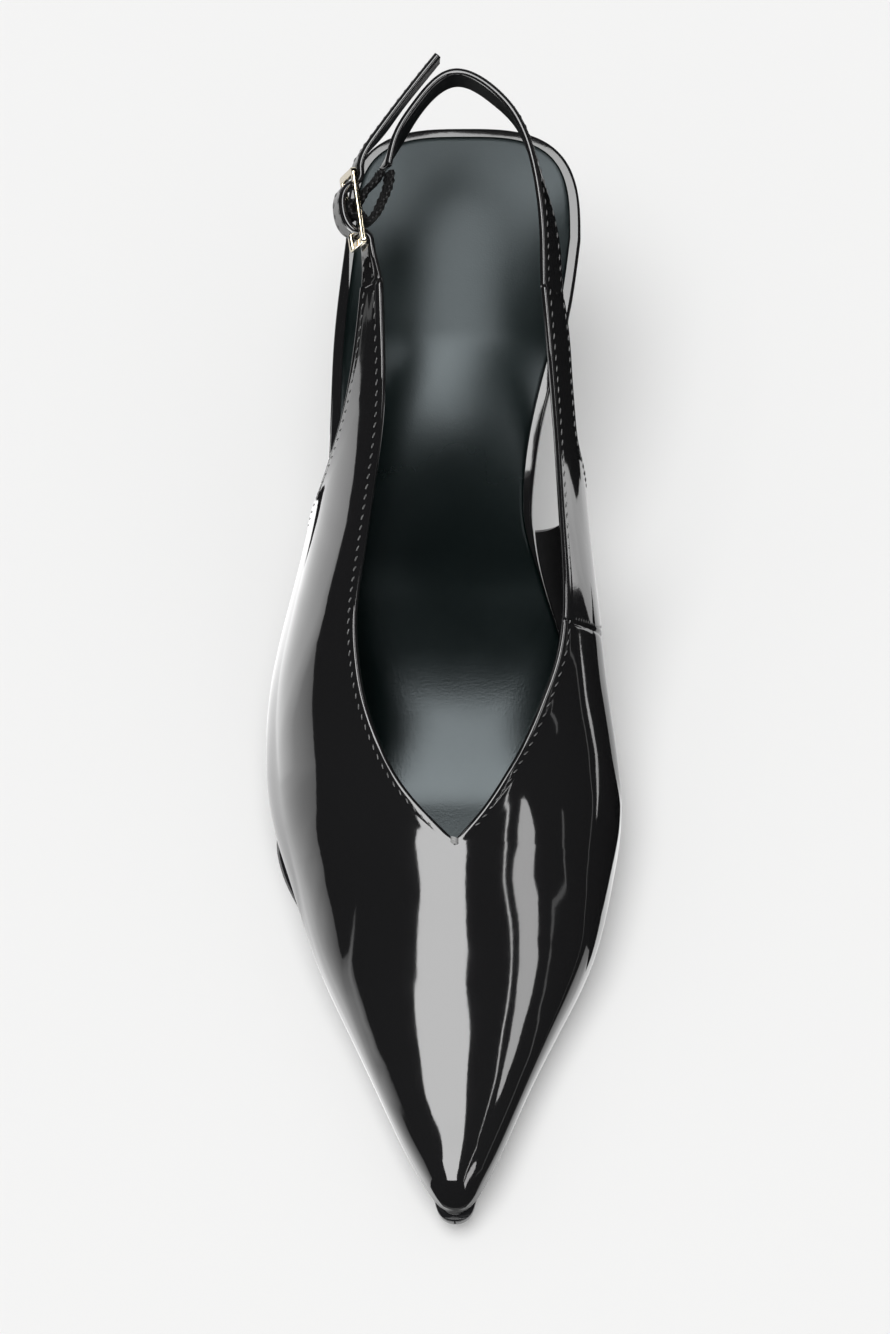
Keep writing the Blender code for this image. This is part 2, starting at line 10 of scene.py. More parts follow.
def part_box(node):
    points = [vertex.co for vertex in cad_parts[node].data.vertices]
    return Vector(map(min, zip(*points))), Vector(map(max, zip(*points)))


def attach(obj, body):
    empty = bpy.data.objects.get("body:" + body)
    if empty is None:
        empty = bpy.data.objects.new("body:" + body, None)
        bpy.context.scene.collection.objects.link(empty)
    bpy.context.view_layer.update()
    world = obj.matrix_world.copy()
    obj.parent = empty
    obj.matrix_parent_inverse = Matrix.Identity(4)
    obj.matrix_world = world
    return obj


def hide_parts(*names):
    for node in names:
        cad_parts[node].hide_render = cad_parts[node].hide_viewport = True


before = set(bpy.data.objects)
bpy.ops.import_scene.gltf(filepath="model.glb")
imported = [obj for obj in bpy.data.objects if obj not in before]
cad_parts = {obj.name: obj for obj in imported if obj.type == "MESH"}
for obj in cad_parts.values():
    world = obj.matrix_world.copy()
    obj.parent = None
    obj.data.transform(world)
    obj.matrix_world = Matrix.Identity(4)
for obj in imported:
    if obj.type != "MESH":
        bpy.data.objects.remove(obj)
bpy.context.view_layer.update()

# Insole: a board shaped to the bottom of the last and wrapped in black patent leather. Upper, sole and heel
# are fixed to it, and its wrapped rim shows along the waist and round the heel seat.
MM = 0.001
LATERAL, MEDIAL = -1, 1
SHOE_LENGTH, HEEL_HEIGHT, SEAT_PITCH, TOE_SPRING = 249.0, 66.0, 9.0, 6.0
TREAD_START, TREAD_END, HEEL_BREAST = 56.0, 101.0, 200.0
SEAT_CENTRE, SEAT_HALF_WIDTH, SEAT_SHIFT, SEAT_SQUARENESS = 222.0, 27.8, 1.2, 3.1
TOP_PIECE_MIDDLE = 229.5
OUTSOLE_THICKNESS, INSOLE_THICKNESS, GAP = 2.4, 3.2, 0.3
QUARTER_LEAVES_SOLE = {LATERAL: 150.0, MEDIAL: 159.5}
LAST_COLUMNS = ("behind_toe", "feather_lateral", "feather_medial", "bulge_lateral", "bulge_medial",
                "bulge_rise", "ridge_rise", "ridge_shift")
LAST_SECTIONS = (
    (0, 0, 0, 0, 0, 0, 0, 0),
    (4, 4.3, 4.3, 5.6, 5.6, 3.2, 6.2, 0),
    (8, 6.3, 6.0, 8.2, 7.9, 4.5, 9.4, 0),
    (12, 8.0, 7.4, 10.5, 9.9, 5.1, 10.8, 0),
    (30, 15.9, 14.4, 19.2, 17.6, 7.6, 15.0, 0),
    (46, 23.3, 21.8, 26.9, 25.4, 9.4, 20.4, 0),
    (60, 29.3, 28.0, 33.4, 32.0, 11.8, 27.0, 0),
    (80, 36.0, 33.2, 40.1, 36.8, 13.0, 38.0, 0),
    (95, 40.2, 35.2, 44.6, 38.7, 14.0, 42.5, 0.3),
    (110, 41.8, 34.0, 46.0, 37.6, 15.0, 45.0, 0.6),
    (125, 40.4, 29.6, 44.4, 35.2, 16.0, 46.5, 0.9),
    (140, 36.6, 23.8, 39.8, 33.2, 16.5, 46.6, 1.2),
    (155, 33.0, 18.8, 34.8, 31.2, 17.0, 47.0, 1.5),
    (170, 30.8, 18.4, 31.4, 29.7, 18.0, 48.5, 1.8),
    (185, 29.8, 21.6, 28.6, 28.4, 19.0, 51.0, 2.1),
    (200, 29.0, 25.6, 26.2, 27.2, 20.0, 54.0, 2.4),
    (222, 26.6, 29.0, 23.5, 25.5, 21.0, 57.0, 2.4),
)


def spline(keys, values):
    """A function through one column of a table, with even bending between its rows."""
    keys = np.asarray(keys, float)
    values = np.asarray(values, float)
    steps = np.diff(keys)
    rises = np.diff(values, axis=0) / steps.reshape((-1,) + (1,) * (values.ndim - 1))
    count = len(keys)
    matrix = np.eye(count)
    right = np.zeros_like(values)
    for row in range(1, count - 1):
        matrix[row, row - 1:row + 2] = steps[row - 1], 2 * (steps[row - 1] + steps[row]), steps[row]
        right[row] = 3 * (rises[row] - rises[row - 1])
    bends = np.linalg.solve(matrix, right)

    def value(key):
        cell = int(np.clip(np.searchsorted(keys, key) - 1, 0, count - 2))
        past = np.clip(key, keys[0], keys[-1]) - keys[cell]
        step = steps[cell]
        slope = rises[cell] - step * (2 * bends[cell] + bends[cell + 1]) / 3
        twist = (bends[cell + 1] - bends[cell]) / (3 * step)
        return values[cell] + past * (slope + past * (bends[cell] + past * twist))

    return value


def columns_of(names, rows, key_scale):
    """One spline for each column of a table, along its first column."""
    keys, *columns = zip(*rows)
    keys = [key_scale(key) for key in keys]
    return {name: spline(keys, column) for name, column in zip(names[1:], columns)}


LAST = columns_of(LAST_COLUMNS, LAST_SECTIONS, math.sqrt)


def side_name(side):
    return "lateral" if side == LATERAL else "medial"


def last_size(name, behind_toe):
    return float(LAST[name](math.sqrt(max(behind_toe, 0.0))))


def ease(value, start, end):
    share = min(max((value - start) / (end - start), 0.0), 1.0)
    return share * share * (3.0 - 2.0 * share)


def direction(vector):
    return np.asarray(vector, float) / np.linalg.norm(vector)


def sole_height(behind_toe):
    """The outsole's underside: toe spring, flat tread, arch, then the straight pitch of the heel seat."""
    pitch = math.tan(math.radians(SEAT_PITCH))
    breast_height = HEEL_HEIGHT - pitch * (SHOE_LENGTH - HEEL_BREAST)
    if behind_toe < TREAD_START:
        return TOE_SPRING * ((TREAD_START - behind_toe) / TREAD_START) ** 2
    if behind_toe <= TREAD_END:
        return 0.0
    if behind_toe > HEEL_BREAST:
        return breast_height + pitch * (behind_toe - HEEL_BREAST)
    run = HEEL_BREAST - TREAD_END
    share = (behind_toe - TREAD_END) / run
    return breast_height * share ** 2 * (3 - 2 * share) + pitch * run * share ** 2 * (share - 1)


def height_over_sole(behind_toe, thickness):
    """The height of a layer that lies this far above the outsole's underside, square to its slope."""
    slope = sole_height(behind_toe + 0.5) - sole_height(behind_toe - 0.5)
    return sole_height(behind_toe) + thickness * math.hypot(1.0, slope)


def feather_x(side, behind_toe):
    """The feather line in plan: the last's own edge, closed by the rounded heel seat."""
    if behind_toe <= SEAT_CENTRE:
        return side * last_size("feather_" + side_name(side), behind_toe)
    reach = min((behind_toe - SEAT_CENTRE) / (SHOE_LENGTH - SEAT_CENTRE), 1.0)
    share = (1.0 - reach ** SEAT_SQUARENESS) ** (1.0 / SEAT_SQUARENESS)
    return SEAT_SHIFT + side * SEAT_HALF_WIDTH * share


def plan_edge(side, behind_toe, margin):
    """A point of the feather line in plan, moved out square to it by a margin."""
    step = 0.05
    fore = max(behind_toe - step, 0.0)
    aft = min(behind_toe + step, SHOE_LENGTH)
    run = np.array((feather_x(side, aft) - feather_x(side, fore), aft - fore))
    outward = side * direction((run[1], -run[0]))
    return np.array((feather_x(side, behind_toe), behind_toe)) + margin * outward


def seat_stations(count):
    """Sections at even steps round the curve of the heel seat."""
    turns = np.linspace(0.0, math.pi / 2, count)
    return SEAT_CENTRE + (SHOE_LENGTH - SEAT_CENTRE) * np.sin(turns) ** (2.0 / SEAT_SQUARENESS)


heel_foot_low, heel_foot_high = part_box("top_piece")
shoe_origin = np.array(heel_foot_low + heel_foot_high) / 2 / MM - (SEAT_SHIFT, TOP_PIECE_MIDDLE, 0.0)
shoe_origin[2] = 0.0


def put_in_scene(name, data):
    made = bpy.data.objects.new(name, data)
    bpy.context.scene.collection.objects.link(made)
    return made


def add_piece(name, points, faces, finishes, face_finishes=None):
    """A smooth-shaded mesh from points in shoe millimetres, with coinciding points made one."""
    mesh = bpy.data.meshes.new(name)
    bm = bmesh.new()
    corners = [bm.verts.new((np.asarray(point) + shoe_origin) * MM) for point in points]
    for index, face in enumerate(faces):
        made = bm.faces.new([corners[corner] for corner in face])
        made.smooth = True
        if face_finishes:
            made.material_index = face_finishes[index]
    bmesh.ops.remove_doubles(bm, verts=bm.verts, dist=2e-6)
    bmesh.ops.dissolve_degenerate(bm, edges=bm.edges, dist=1e-6)
    bmesh.ops.recalc_face_normals(bm, faces=bm.faces)
    bm.to_mesh(mesh)
    bm.free()
    for finish in finishes:
        mesh.materials.append(finish)
    return put_in_scene(name, mesh)


def sole_layer(stations, margin_at, profile, under, columns, open_back):
    """Points and faces of a layer over the sole's plan, from a table of inset and height round its edge."""
    points, faces = [], []
    rows = len(stations)
    for inset, height in profile:
        for side in (LATERAL, MEDIAL):
            for behind_toe in stations:
                x, y = plan_edge(side, behind_toe, margin_at(side, behind_toe) - inset * toe_share(behind_toe))
                points.append((x, y, height_over_sole(y, under + height)))

    def corner(level, side, row):
        return (level * 2 + (side == MEDIAL)) * rows + row

    for level in range(len(profile) - 1):
        for row in range(rows - 1):
            for side in (LATERAL, MEDIAL):
                faces.append((corner(level, side, row), corner(level, side, row + 1),
                              corner(level + 1, side, row + 1), corner(level + 1, side, row)))
    end_lines = []
    for level in (0, len(profile) - 1):
        grid = []
        for row in range(rows):
            left, right = corner(level, LATERAL, row), corner(level, MEDIAL, row)
            line = [left]
            for share in np.linspace(0.0, 1.0, columns)[1:-1]:
                x, y, _ = np.array(points[left]) * (1 - share) + np.array(points[right]) * share
                line.append(len(points))
                points.append((x, y, height_over_sole(y, under + profile[level][1])))
            grid.append(line + [right])
        for row in range(rows - 1):
            for column in range(columns - 1):
                faces.append((grid[row][column], grid[row][column + 1],
                              grid[row + 1][column + 1], grid[row + 1][column]))
        end_lines.append(grid[-1])
    if open_back:
        low, top = end_lines
        rising = [corner(level, MEDIAL, rows - 1) for level in range(1, len(profile) - 1)]
        falling = [corner(level, LATERAL, rows - 1) for level in range(len(profile) - 2, 0, -1)]
        faces.append((*low, *rising, *reversed(top), *falling))
    return points, faces


def toe_share(behind_toe):
    """How much of an edge's full inset there is room for at the narrow toe."""
    starts, full_after, least = 0.5, 20.0, 0.04
    return min(max((behind_toe - starts) / full_after, least), 1.0)


class Shade:
    """A socket of a material, so that what its nodes work out reads as plain sums."""

    def __init__(self, socket):
        self.socket = socket

    @staticmethod
    def node(tree, kind, settings=None, inputs=None, output=0):
        """Adds a node of a kind, with its settings first and then the values or links of its sockets."""
        made = tree.nodes.new(kind)
        for name, value in (settings or {}).items():
            if name == "stops":
                for place, colour in value[2:]:
                    made.color_ramp.elements.new(place)
                for element, (place, colour) in zip(made.color_ramp.elements, value):
                    element.position = place
                    element.color = (*colour, 1.0)
            else:
                setattr(made, name, value)
        for name, value in (inputs or {}).items():
            if isinstance(value, Shade):
                tree.links.new(value.socket, made.inputs[name])
            else:
                made.inputs[name].default_value = value
        return Shade(made.outputs[output])

    def sum_with(self, operation, first, second):
        tree = self.socket.id_data
        return Shade.node(tree, "ShaderNodeMath", {"operation": operation}, {0: first, 1: second})

    def __add__(self, other):
        return self.sum_with("ADD", self, other)

    def __radd__(self, other):
        return self.sum_with("ADD", other, self)

    def __sub__(self, other):
        return self.sum_with("SUBTRACT", self, other)

    def __rsub__(self, other):
        return self.sum_with("SUBTRACT", other, self)

    def __mul__(self, other):
        return self.sum_with("MULTIPLY", self, other)

    def __rmul__(self, other):
        return self.sum_with("MULTIPLY", other, self)

    def __truediv__(self, other):
        return self.sum_with("DIVIDE", self, other)

    def __rtruediv__(self, other):
        return self.sum_with("DIVIDE", other, self)


def finish_of(name, settings):
    """A material with its shader's plain values set, its tree, and its place on the shoe as a vector."""
    made = bpy.data.materials.new(name)
    made.use_nodes = True
    shader = made.node_tree.nodes["Principled BSDF"]
    for socket, value in settings.items():
        shader.inputs[socket].default_value = value
    place = Shade.node(made.node_tree, "ShaderNodeTexCoord", output="Object")
    return made, made.node_tree, shader, place


def feed(tree, shader, socket, shade):
    tree.links.new(shade.socket, shader.inputs[socket])


def noise(tree, place, scale, detail, roughness=0.5):
    return Shade.node(tree, "ShaderNodeTexNoise", None,
                      {"Vector": place, "Scale": scale, "Detail": detail, "Roughness": roughness})


def coordinate(tree, place, axis):
    return Shade.node(tree, "ShaderNodeSeparateXYZ", None, {"Vector": place}, axis) / MM


def ramp(tree, value, start, end, first, last, way="SMOOTHSTEP"):
    """What goes from first to last while a value goes from start to end."""
    return Shade.node(tree, "ShaderNodeMapRange", {"interpolation_type": way},
                      {"Value": value, "From Min": start, "From Max": end, "To Min": first, "To Max": last})


def raise_surface(tree, shader, strength, height):
    """Gives a finish its relief, from heights in millimetres."""
    feed(tree, shader, "Normal", Shade.node(
        tree, "ShaderNodeBump", None, {"Strength": strength, "Distance": MM, "Height": height}))


def patent_leather(name, swell_size, swell_depth, rolls_off=0.0):
    """Black patent leather: a clear hard lacquer that lies in slow waves, flatter over the stiff toe, with
    faint dust in its gloss. Its lateral rim may roll off."""
    made, tree, shader, place = finish_of(name, {
        "Base Color": (0.0105, 0.0105, 0.011, 1.0), "IOR": 1.52, "Specular IOR Level": 0.5})
    swell = noise(tree, place, 1.0 / (swell_size * MM), 1.0, 0.4)
    peel = noise(tree, place, 850.0, 2.0, 0.5)
    dust = noise(tree, place, 140.0, 5.0, 0.65)
    slack = ramp(tree, coordinate(tree, place, "Y") - shoe_origin[1], 12.0, 60.0, 0.12, 1.0)
    height = swell * slack * swell_depth + peel * 0.0025
    if rolls_off:
        outer, inner = -42.0, -22.0
        across = coordinate(tree, place, "X")
        height = height + ramp(tree, across, outer, inner, (outer - inner) * rolls_off, 0.0, "LINEAR")
    raise_surface(tree, shader, 1.0, height)
    feed(tree, shader, "Roughness", dust * 0.05 + 0.03)
    return made


patent_wrap = patent_leather("patent_wrap", 14.0, 0.12, 0.16)


def insole_margin(side, behind_toe):
    inside_upper, widens_over = -0.5, 12.0
    leaves = QUARTER_LEAVES_SOLE[side]
    return inside_upper * (1.0 - ease(behind_toe, leaves, leaves + widens_over))


INSOLE_TOE = 5.0
INSOLE_EDGE = ((3.0, 0.0), (1.0, 0.0), (0.45, 0.1), (0.12, 0.45), (0.0, 0.95), (0.0, 2.4),
               (0.06, 2.8), (0.22, 3.07), (0.5, 3.18), (0.8, 3.2), (3.0, 3.2))
front = INSOLE_TOE + (SEAT_CENTRE - INSOLE_TOE) * np.linspace(0.0, 1.0, 150) ** 1.15
insole_stations = np.concatenate((front[:-1], seat_stations(40)))
insole_points, insole_faces = sole_layer(
    insole_stations, insole_margin, INSOLE_EDGE, OUTSOLE_THICKNESS + GAP, 9, False)
insole = add_piece("wrapped_insole", insole_points, insole_faces, [patent_wrap])
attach(insole, "root")
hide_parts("insole")

# Upper: vamp and both quarters in one wall of lined black patent leather, drawn over the last and lasted under
# the insole. Its edges are folded over and stitched all round the throat, the quarters and the cut-outs.
UPPER_THICKNESS, BULGE_CLIMB, THROAT, QUARTER_END = 1.6, 0.3, 81.0, 195.0
TOPLINE_COLUMNS = ("behind_toe", "lateral", "medial")
TOPLINE = (
    (81, 1.0, 1.0),
    (87, 0.932, 0.937),
    (95, 0.866, 0.875),
    (105, 0.816, 0.806),
    (115, 0.778, 0.737),
    (123, 0.757, 0.678),
    (131, 0.741, 0.637),
    (141, 0.738, 0.614),
    (155, 0.741, 0.601),
    (170, 0.751, 0.600),
    (184, 0.722, 0.610),
    (200, 0.672, 0.625),
)
CUT_OUT_COLUMNS = ("behind_leaving", "lateral", "medial")
CUT_OUT = (
    (0, 0.0, 0.0),
    (3, 0.24, 0.25),
    (8, 0.41, 0.41),
    (14, 0.50, 0.435),
    (21, 0.553, 0.437),
    (30, 0.581, 0.442),
    (42, 0.588, 0.505),
    (52, 0.58, 0.52),
)
TOP_EDGE = columns_of(TOPLINE_COLUMNS, TOPLINE, float)
LOW_EDGE = columns_of(CUT_OUT_COLUMNS, CUT_OUT, math.sqrt)
EDGE_ROUND = 0.8
EDGE_STEPS = np.array((0.0, 0.35, 0.7, 1.0, 1.3, 1.6, 2.0, 2.6, 3.6, 5.2))
STITCH_INSET = 1.9
SEAM_START, SEAM_SLANT, SEAM_TOP = 131.8, 18.0, 0.62
FOLD_STEPS = 5


def last_point(side, behind_toe, climb):
    """A point on the last, from the feather line (climb 0) over the bulge to the ridge (climb 1)."""
    feather = abs(feather_x(side, behind_toe))
    bulge = last_size("bulge_" + side_name(side), behind_toe)
    bulge_rise = last_size("bulge_rise", behind_toe)
    ridge_rise = last_size("ridge_rise", behind_toe)
    shift = last_size("ridge_shift", behind_toe)
    base = height_over_sole(behind_toe, OUTSOLE_THICKNESS + GAP)
    if climb < BULGE_CLIMB:
        turn = math.pi / 2 * climb / BULGE_CLIMB
        x = side * (feather + (bulge - feather) * math.sin(turn))
        rise = bulge_rise * (1.0 - math.cos(turn))
    else:
        turn = math.pi / 2 * (climb - BULGE_CLIMB) / (1.0 - BULGE_CLIMB)
        x = shift + (side * bulge - shift) * math.cos(turn)
        rise = bulge_rise + (ridge_rise - bulge_rise) * math.sin(turn)
    return np.array((x, behind_toe, base + rise))


def last_normal(side, behind_toe, climb):
    """The outward direction square to the last at a point."""
    fore, aft = max(behind_toe - 0.2, 0.01), behind_toe + 0.2
    low, high = max(climb - 0.004, 0.0), min(climb + 0.004, 1.0)
    along = last_point(side, aft, climb) - last_point(side, fore, climb)
    up = last_point(side, behind_toe, high) - last_point(side, behind_toe, low)
    return direction(np.cross(up, along) * -side)


def quarter_edges(side, behind_toe):
    """The climbs of the upper's lower and upper edge at a section."""
    top = float(TOP_EDGE[side_name(side)](behind_toe)) if behind_toe > THROAT else 1.0
    behind = behind_toe - QUARTER_LEAVES_SOLE[side]
    low = float(LOW_EDGE[side_name(side)](math.sqrt(behind))) if behind > 0 else 0.0
    return low, top


def run_lengths(points):
    """How far along a line of points each one is."""
    return np.concatenate(([0.0], np.cumsum(np.linalg.norm(np.diff(points, axis=0), axis=1))))


def section_line(side, behind_toe, count):
    """Climbs across a section of the upper from its low to its top edge, and how far along each one is."""
    climbs = np.linspace(*quarter_edges(side, behind_toe), count)
    return climbs, run_lengths([last_point(side, behind_toe, climb) for climb in climbs])


def climbs_at(side, behind_toe, low_distances, top_distances, between):
    """Climbs at set distances from the two edges of a section, and at even steps between them."""
    most_share = 0.46
    climbs, lengths = section_line(side, behind_toe, 70)
    total = lengths[-1]
    fit = min(1.0, most_share * total / max(low_distances[-1], top_distances[-1], 1e-6))
    from_low, to_top = low_distances * fit, total - top_distances[::-1] * fit
    middle = np.linspace(from_low[-1], to_top[0], between + 2)[1:-1]
    return np.interp(np.concatenate((from_low, middle, to_top)), lengths, climbs), total


def fold_lift(distance):
    """How the doubled, folded edge stands up, and the stitch row pulls in, at a distance from the edge."""
    fold, fold_flat, fold_end, pull, pull_width = 0.12, 0.8, 4.2, 0.03, 0.3
    stitched = math.exp(-((distance - STITCH_INSET) / pull_width) ** 2)
    return fold * (1.0 - ease(distance, fold_flat, fold_end)) - pull * stitched


def seam_lift(side, behind_toe, climb):
    """The step where the medial quarter laps over the vamp."""
    if side == LATERAL:
        return 0.0
    lap, groove, groove_ahead, groove_width = 0.22, 0.18, 0.35, 0.25
    past = behind_toe - SEAM_START - SEAM_SLANT * max(SEAM_TOP - climb, 0.0) ** 1.6
    lapped = lap * ease(past, -0.25, 0.1) * (1.0 - ease(past, 3.0, 22.0))
    return lapped - groove * math.exp(-((past + groove_ahead) / groove_width) ** 2)


def quarter_ring(side, behind_toe):
    """One closed section of the wall: outside from the low edge up, over the fold, inside and back under."""
    throat_rounds, cut_out_rounds, steps_between = 1.5, 3.0, 22
    leaves = QUARTER_LEAVES_SOLE[side]
    on_top = ease(behind_toe, THROAT, THROAT + throat_rounds)
    on_low = ease(behind_toe, leaves, leaves + cut_out_rounds)
    top_fold, low_fold = EDGE_ROUND * on_top, EDGE_ROUND * on_low
    climbs, total = climbs_at(side, behind_toe, EDGE_STEPS + low_fold, EDGE_STEPS + top_fold, steps_between)
    low, top = quarter_edges(side, behind_toe)
    size = last_size("ridge_rise", behind_toe)
    wall = min(UPPER_THICKNESS, 0.3 * size)
    outside, inside, normals = [], [], []
    for climb in climbs:
        point = last_point(side, behind_toe, climb)
        normal = last_normal(side, behind_toe, climb) if size > 0 else np.array((0.0, -1.0, 0.0))
        from_low = total * (climb - low) / max(top - low, 1e-6)
        lift = on_low * fold_lift(from_low) + on_top * fold_lift(total - from_low)
        outside.append(point + normal * (lift + seam_lift(side, behind_toe, climb)))
        inside.append(point - normal * wall)
        normals.append(normal)
    ring = list(outside)
    for here, step, reach in ((-1, -2, top_fold), (0, 1, low_fold)):
        middle = (outside[here] + inside[here]) / 2
        beyond = outside[here] - outside[step]
        beyond = beyond / max(np.linalg.norm(beyond), 1e-9)
        half = np.linalg.norm(outside[here] - inside[here]) / 2
        turns = np.linspace(0.0, math.pi, FOLD_STEPS + 2)[1:-1]
        if here == 0:
            turns = turns[::-1]
            ring += inside[::-1]
        ring += [middle + beyond * reach * math.sin(turn) + normals[here] * half * math.cos(turn)
                 for turn in turns]
    return ring


def upper_stations(side):
    leaves = QUARTER_LEAVES_SOLE[side]
    toe = THROAT * np.linspace(0.0, 1.0, 76) ** 2
    throat = THROAT + (leaves - THROAT) * np.linspace(0.0, 1.0, 64)[1:] ** 1.25
    quarter = leaves + (QUARTER_END - leaves) * np.linspace(0.0, 1.0, 56)[1:] ** 1.7
    seam = np.arange(SEAM_START - 1.4, SEAM_START + 3.4, 0.3) if side == MEDIAL else np.array(())
    return np.unique(np.round(np.concatenate((toe, throat, quarter, seam)), 3))


patent_upper = patent_leather("patent_upper", 15.0, 0.24)


def leather_grain(tree, place, scale):
    return Shade.node(tree, "ShaderNodeTexVoronoi", {"feature": "DISTANCE_TO_EDGE"},
                      {"Vector": place, "Scale": scale})


def leather_lining(name):
    """Smooth black lining leather with a fine grain."""
    made, tree, shader, place = finish_of(name, {
        "Base Color": (0.004, 0.004, 0.0042, 1.0), "Specular IOR Level": 0.06})
    grain = leather_grain(tree, place, 1600.0)
    mottle = noise(tree, place, 300.0, 4.0)
    raise_surface(tree, shader, 0.5, grain * 0.08 + mottle * 0.03)
    feed(tree, shader, "Roughness", mottle * 0.2 + 0.36)
    return made


lining = leather_lining("black_lining")

upper_points, upper_faces, upper_faced = [], [], []
for side in (LATERAL, MEDIAL):
    stations = upper_stations(side)
    first = len(upper_points)
    for behind_toe in stations:
        ring = quarter_ring(side, behind_toe)
        upper_points += ring
    count = len(ring)
    outer = count // 2 - FOLD_STEPS
    for row, behind_toe in enumerate(stations[:-1]):
        for index in range(count):
            over_fold = outer - 1 <= index < outer + FOLD_STEPS
            if over_fold and behind_toe < THROAT - 0.01:
                continue
            after = (index + 1) % count
            start = first + row * count
            upper_faces.append((start + index, start + after, start + count + after, start + count + index))
            upper_faced.append(1 if outer <= index - FOLD_STEPS < 2 * outer - 1 else 0)
    upper_faces.append(tuple(range(first + (len(stations) - 1) * count, first + len(stations) * count)))
    upper_faced.append(0)
upper = add_piece("patent_upper", upper_points, upper_faces, [patent_upper, lining], upper_faced)
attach(upper, "root")
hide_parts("upper")

# Outsole: a thin black sole-leather sheet cemented under the lasted upper. Its edge stands just proud of the
# toe and ball, tucks in under the waist, and ends at the heel's breast.
OUTSOLE_EDGE = ((3.2, 0.0), (1.4, 0.0), (0.5, 0.08), (0.12, 0.35), (0.0, 0.8), (0.0, 1.6), (0.12, 2.1),
                (0.45, 2.34), (1.2, 2.4), (3.2, 2.4))


def sole_leather(name):
    """Black dyed sole leather: burnished, with a faint grain and the marks of brushing."""
    made, tree, shader, place = finish_of(name, {"Base Color": (0.012, 0.012, 0.013, 1.0)})
    grain = noise(tree, place, 900.0, 6.0, 0.7)
    brushed = noise(tree, place, 60.0, 4.0)
    raise_surface(tree, shader, 0.4, grain * 0.01)
    feed(tree, shader, "Roughness", brushed * 0.08 + 0.06)
    return made


def outsole_margin(side, behind_toe):
    stand_out, tip_more, ball_more, tuck_in = 0.5, 1.2, 4.3, -1.6
    tip = tip_more * (1.0 - ease(behind_toe, 0.5, 5.0))
    ball = ball_more * ease(behind_toe, 62.0, 88.0) * (1.0 - ease(behind_toe, 90.0, 110.0))
    tuck = (tuck_in - stand_out) * ease(behind_toe, 110.0, 165.0)
    return stand_out + tip + tuck + (ball if side == LATERAL else 0.0)


outsole_stations = (HEEL_BREAST - GAP) * np.linspace(0.0, 1.0, 150) ** 2
outsole_points, outsole_faces = sole_layer(outsole_stations, outsole_margin, OUTSOLE_EDGE, 0.0, 9, True)
outsole = add_piece("leather_outsole", outsole_points, outsole_faces, [sole_leather("black_sole_leather")])
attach(outsole, "root")
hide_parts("outsole")

# Heel: a slim block covered in the upper's patent leather, screwed up into the insole. It sweeps in from the
# seat to the small top piece.
TOP_PIECE_THICKNESS, HEEL_SIDES, HEEL_EDGE_ANGLE = 6.0, 96, 55
HEEL_COLUMNS = ("down", "half_width", "back", "front")
HEEL_SECTIONS = (
    (0.0, 26.0, 246.0, 200.8),
    (0.06, 24.6, 245.8, 202.0),
    (0.18, 19.2, 244.4, 206.8),
    (0.36, 13.0, 241.4, 213.0),
    (0.60, 8.4, 238.4, 218.6),
    (0.82, 6.4, 236.8, 221.6),
    (1.0, 5.8, 236.2, 222.8),
)
HEEL = columns_of(HEEL_COLUMNS, HEEL_SECTIONS, math.sqrt)


def heel_ring(down, sides):
    """A rounded D across the heel, which follows the insole at the top and lies level at the bottom."""
    widest_share, round_power, breast_power = 0.45, 0.75, 0.55
    key = math.sqrt(down)
    half_width, back, front = (float(HEEL[name](key)) for name in ("half_width", "back", "front"))
    middle = front + widest_share * (back - front)
    ring = []
    for turn in np.linspace(0.0, 2 * math.pi, sides, endpoint=False):
        along, across = math.sin(turn), math.cos(turn)
        depth, power = (back - middle, round_power) if along > 0 else (middle - front, breast_power)
        x = SEAT_SHIFT + half_width * math.copysign(abs(across) ** round_power, across)
        y = middle + depth * math.copysign(abs(along) ** power, along)
        top = height_over_sole(y, OUTSOLE_THICKNESS)
        ring.append((x, y, top + (TOP_PIECE_THICKNESS + GAP - top) * down))
    return ring


def rings_to_faces(rings, count):
    """Faces round a stack of rings of equal count, closed at both ends."""
    faces = [(ring * count + index, ring * count + (index + 1) % count,
              (ring + 1) * count + (index + 1) % count, (ring + 1) * count + index)
             for ring in range(rings - 1) for index in range(count)]
    return faces + [tuple(range(count)), tuple(range((rings - 1) * count, rings * count))]


heel_levels = np.linspace(0.0, 1.0, 56) ** 1.4
heel_points = [point for down in heel_levels for point in heel_ring(down, HEEL_SIDES)]
heel = add_piece("covered_heel", heel_points, rings_to_faces(len(heel_levels), HEEL_SIDES),
                 [patent_leather("patent_heel", 18.0, 0.12)])
heel.data.set_sharp_from_angle(angle=math.radians(HEEL_EDGE_ANGLE))
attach(heel, "root")
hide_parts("heel")

# Top piece: a small lift of hard black rubber, moulded to the foot of the heel and pinned under it. It is the
# part that meets the floor.
TOP_PIECE_EDGE = ((0.5, 0.0), (0.12, 0.12), (0.0, 0.5), (0.0, 5.6), (0.1, 5.9), (0.4, 6.0))


def hard_rubber(name):
    """Hard moulded rubber, matt, with a fine pitted skin."""
    made, tree, shader, place = finish_of(name, {"Base Color": (0.014, 0.014, 0.014, 1.0)})
    pits = noise(tree, place, 1800.0, 3.0)
    raise_surface(tree, shader, 0.5, pits * 0.08)
    feed(tree, shader, "Roughness", pits * 0.2 + 0.5)
    return made


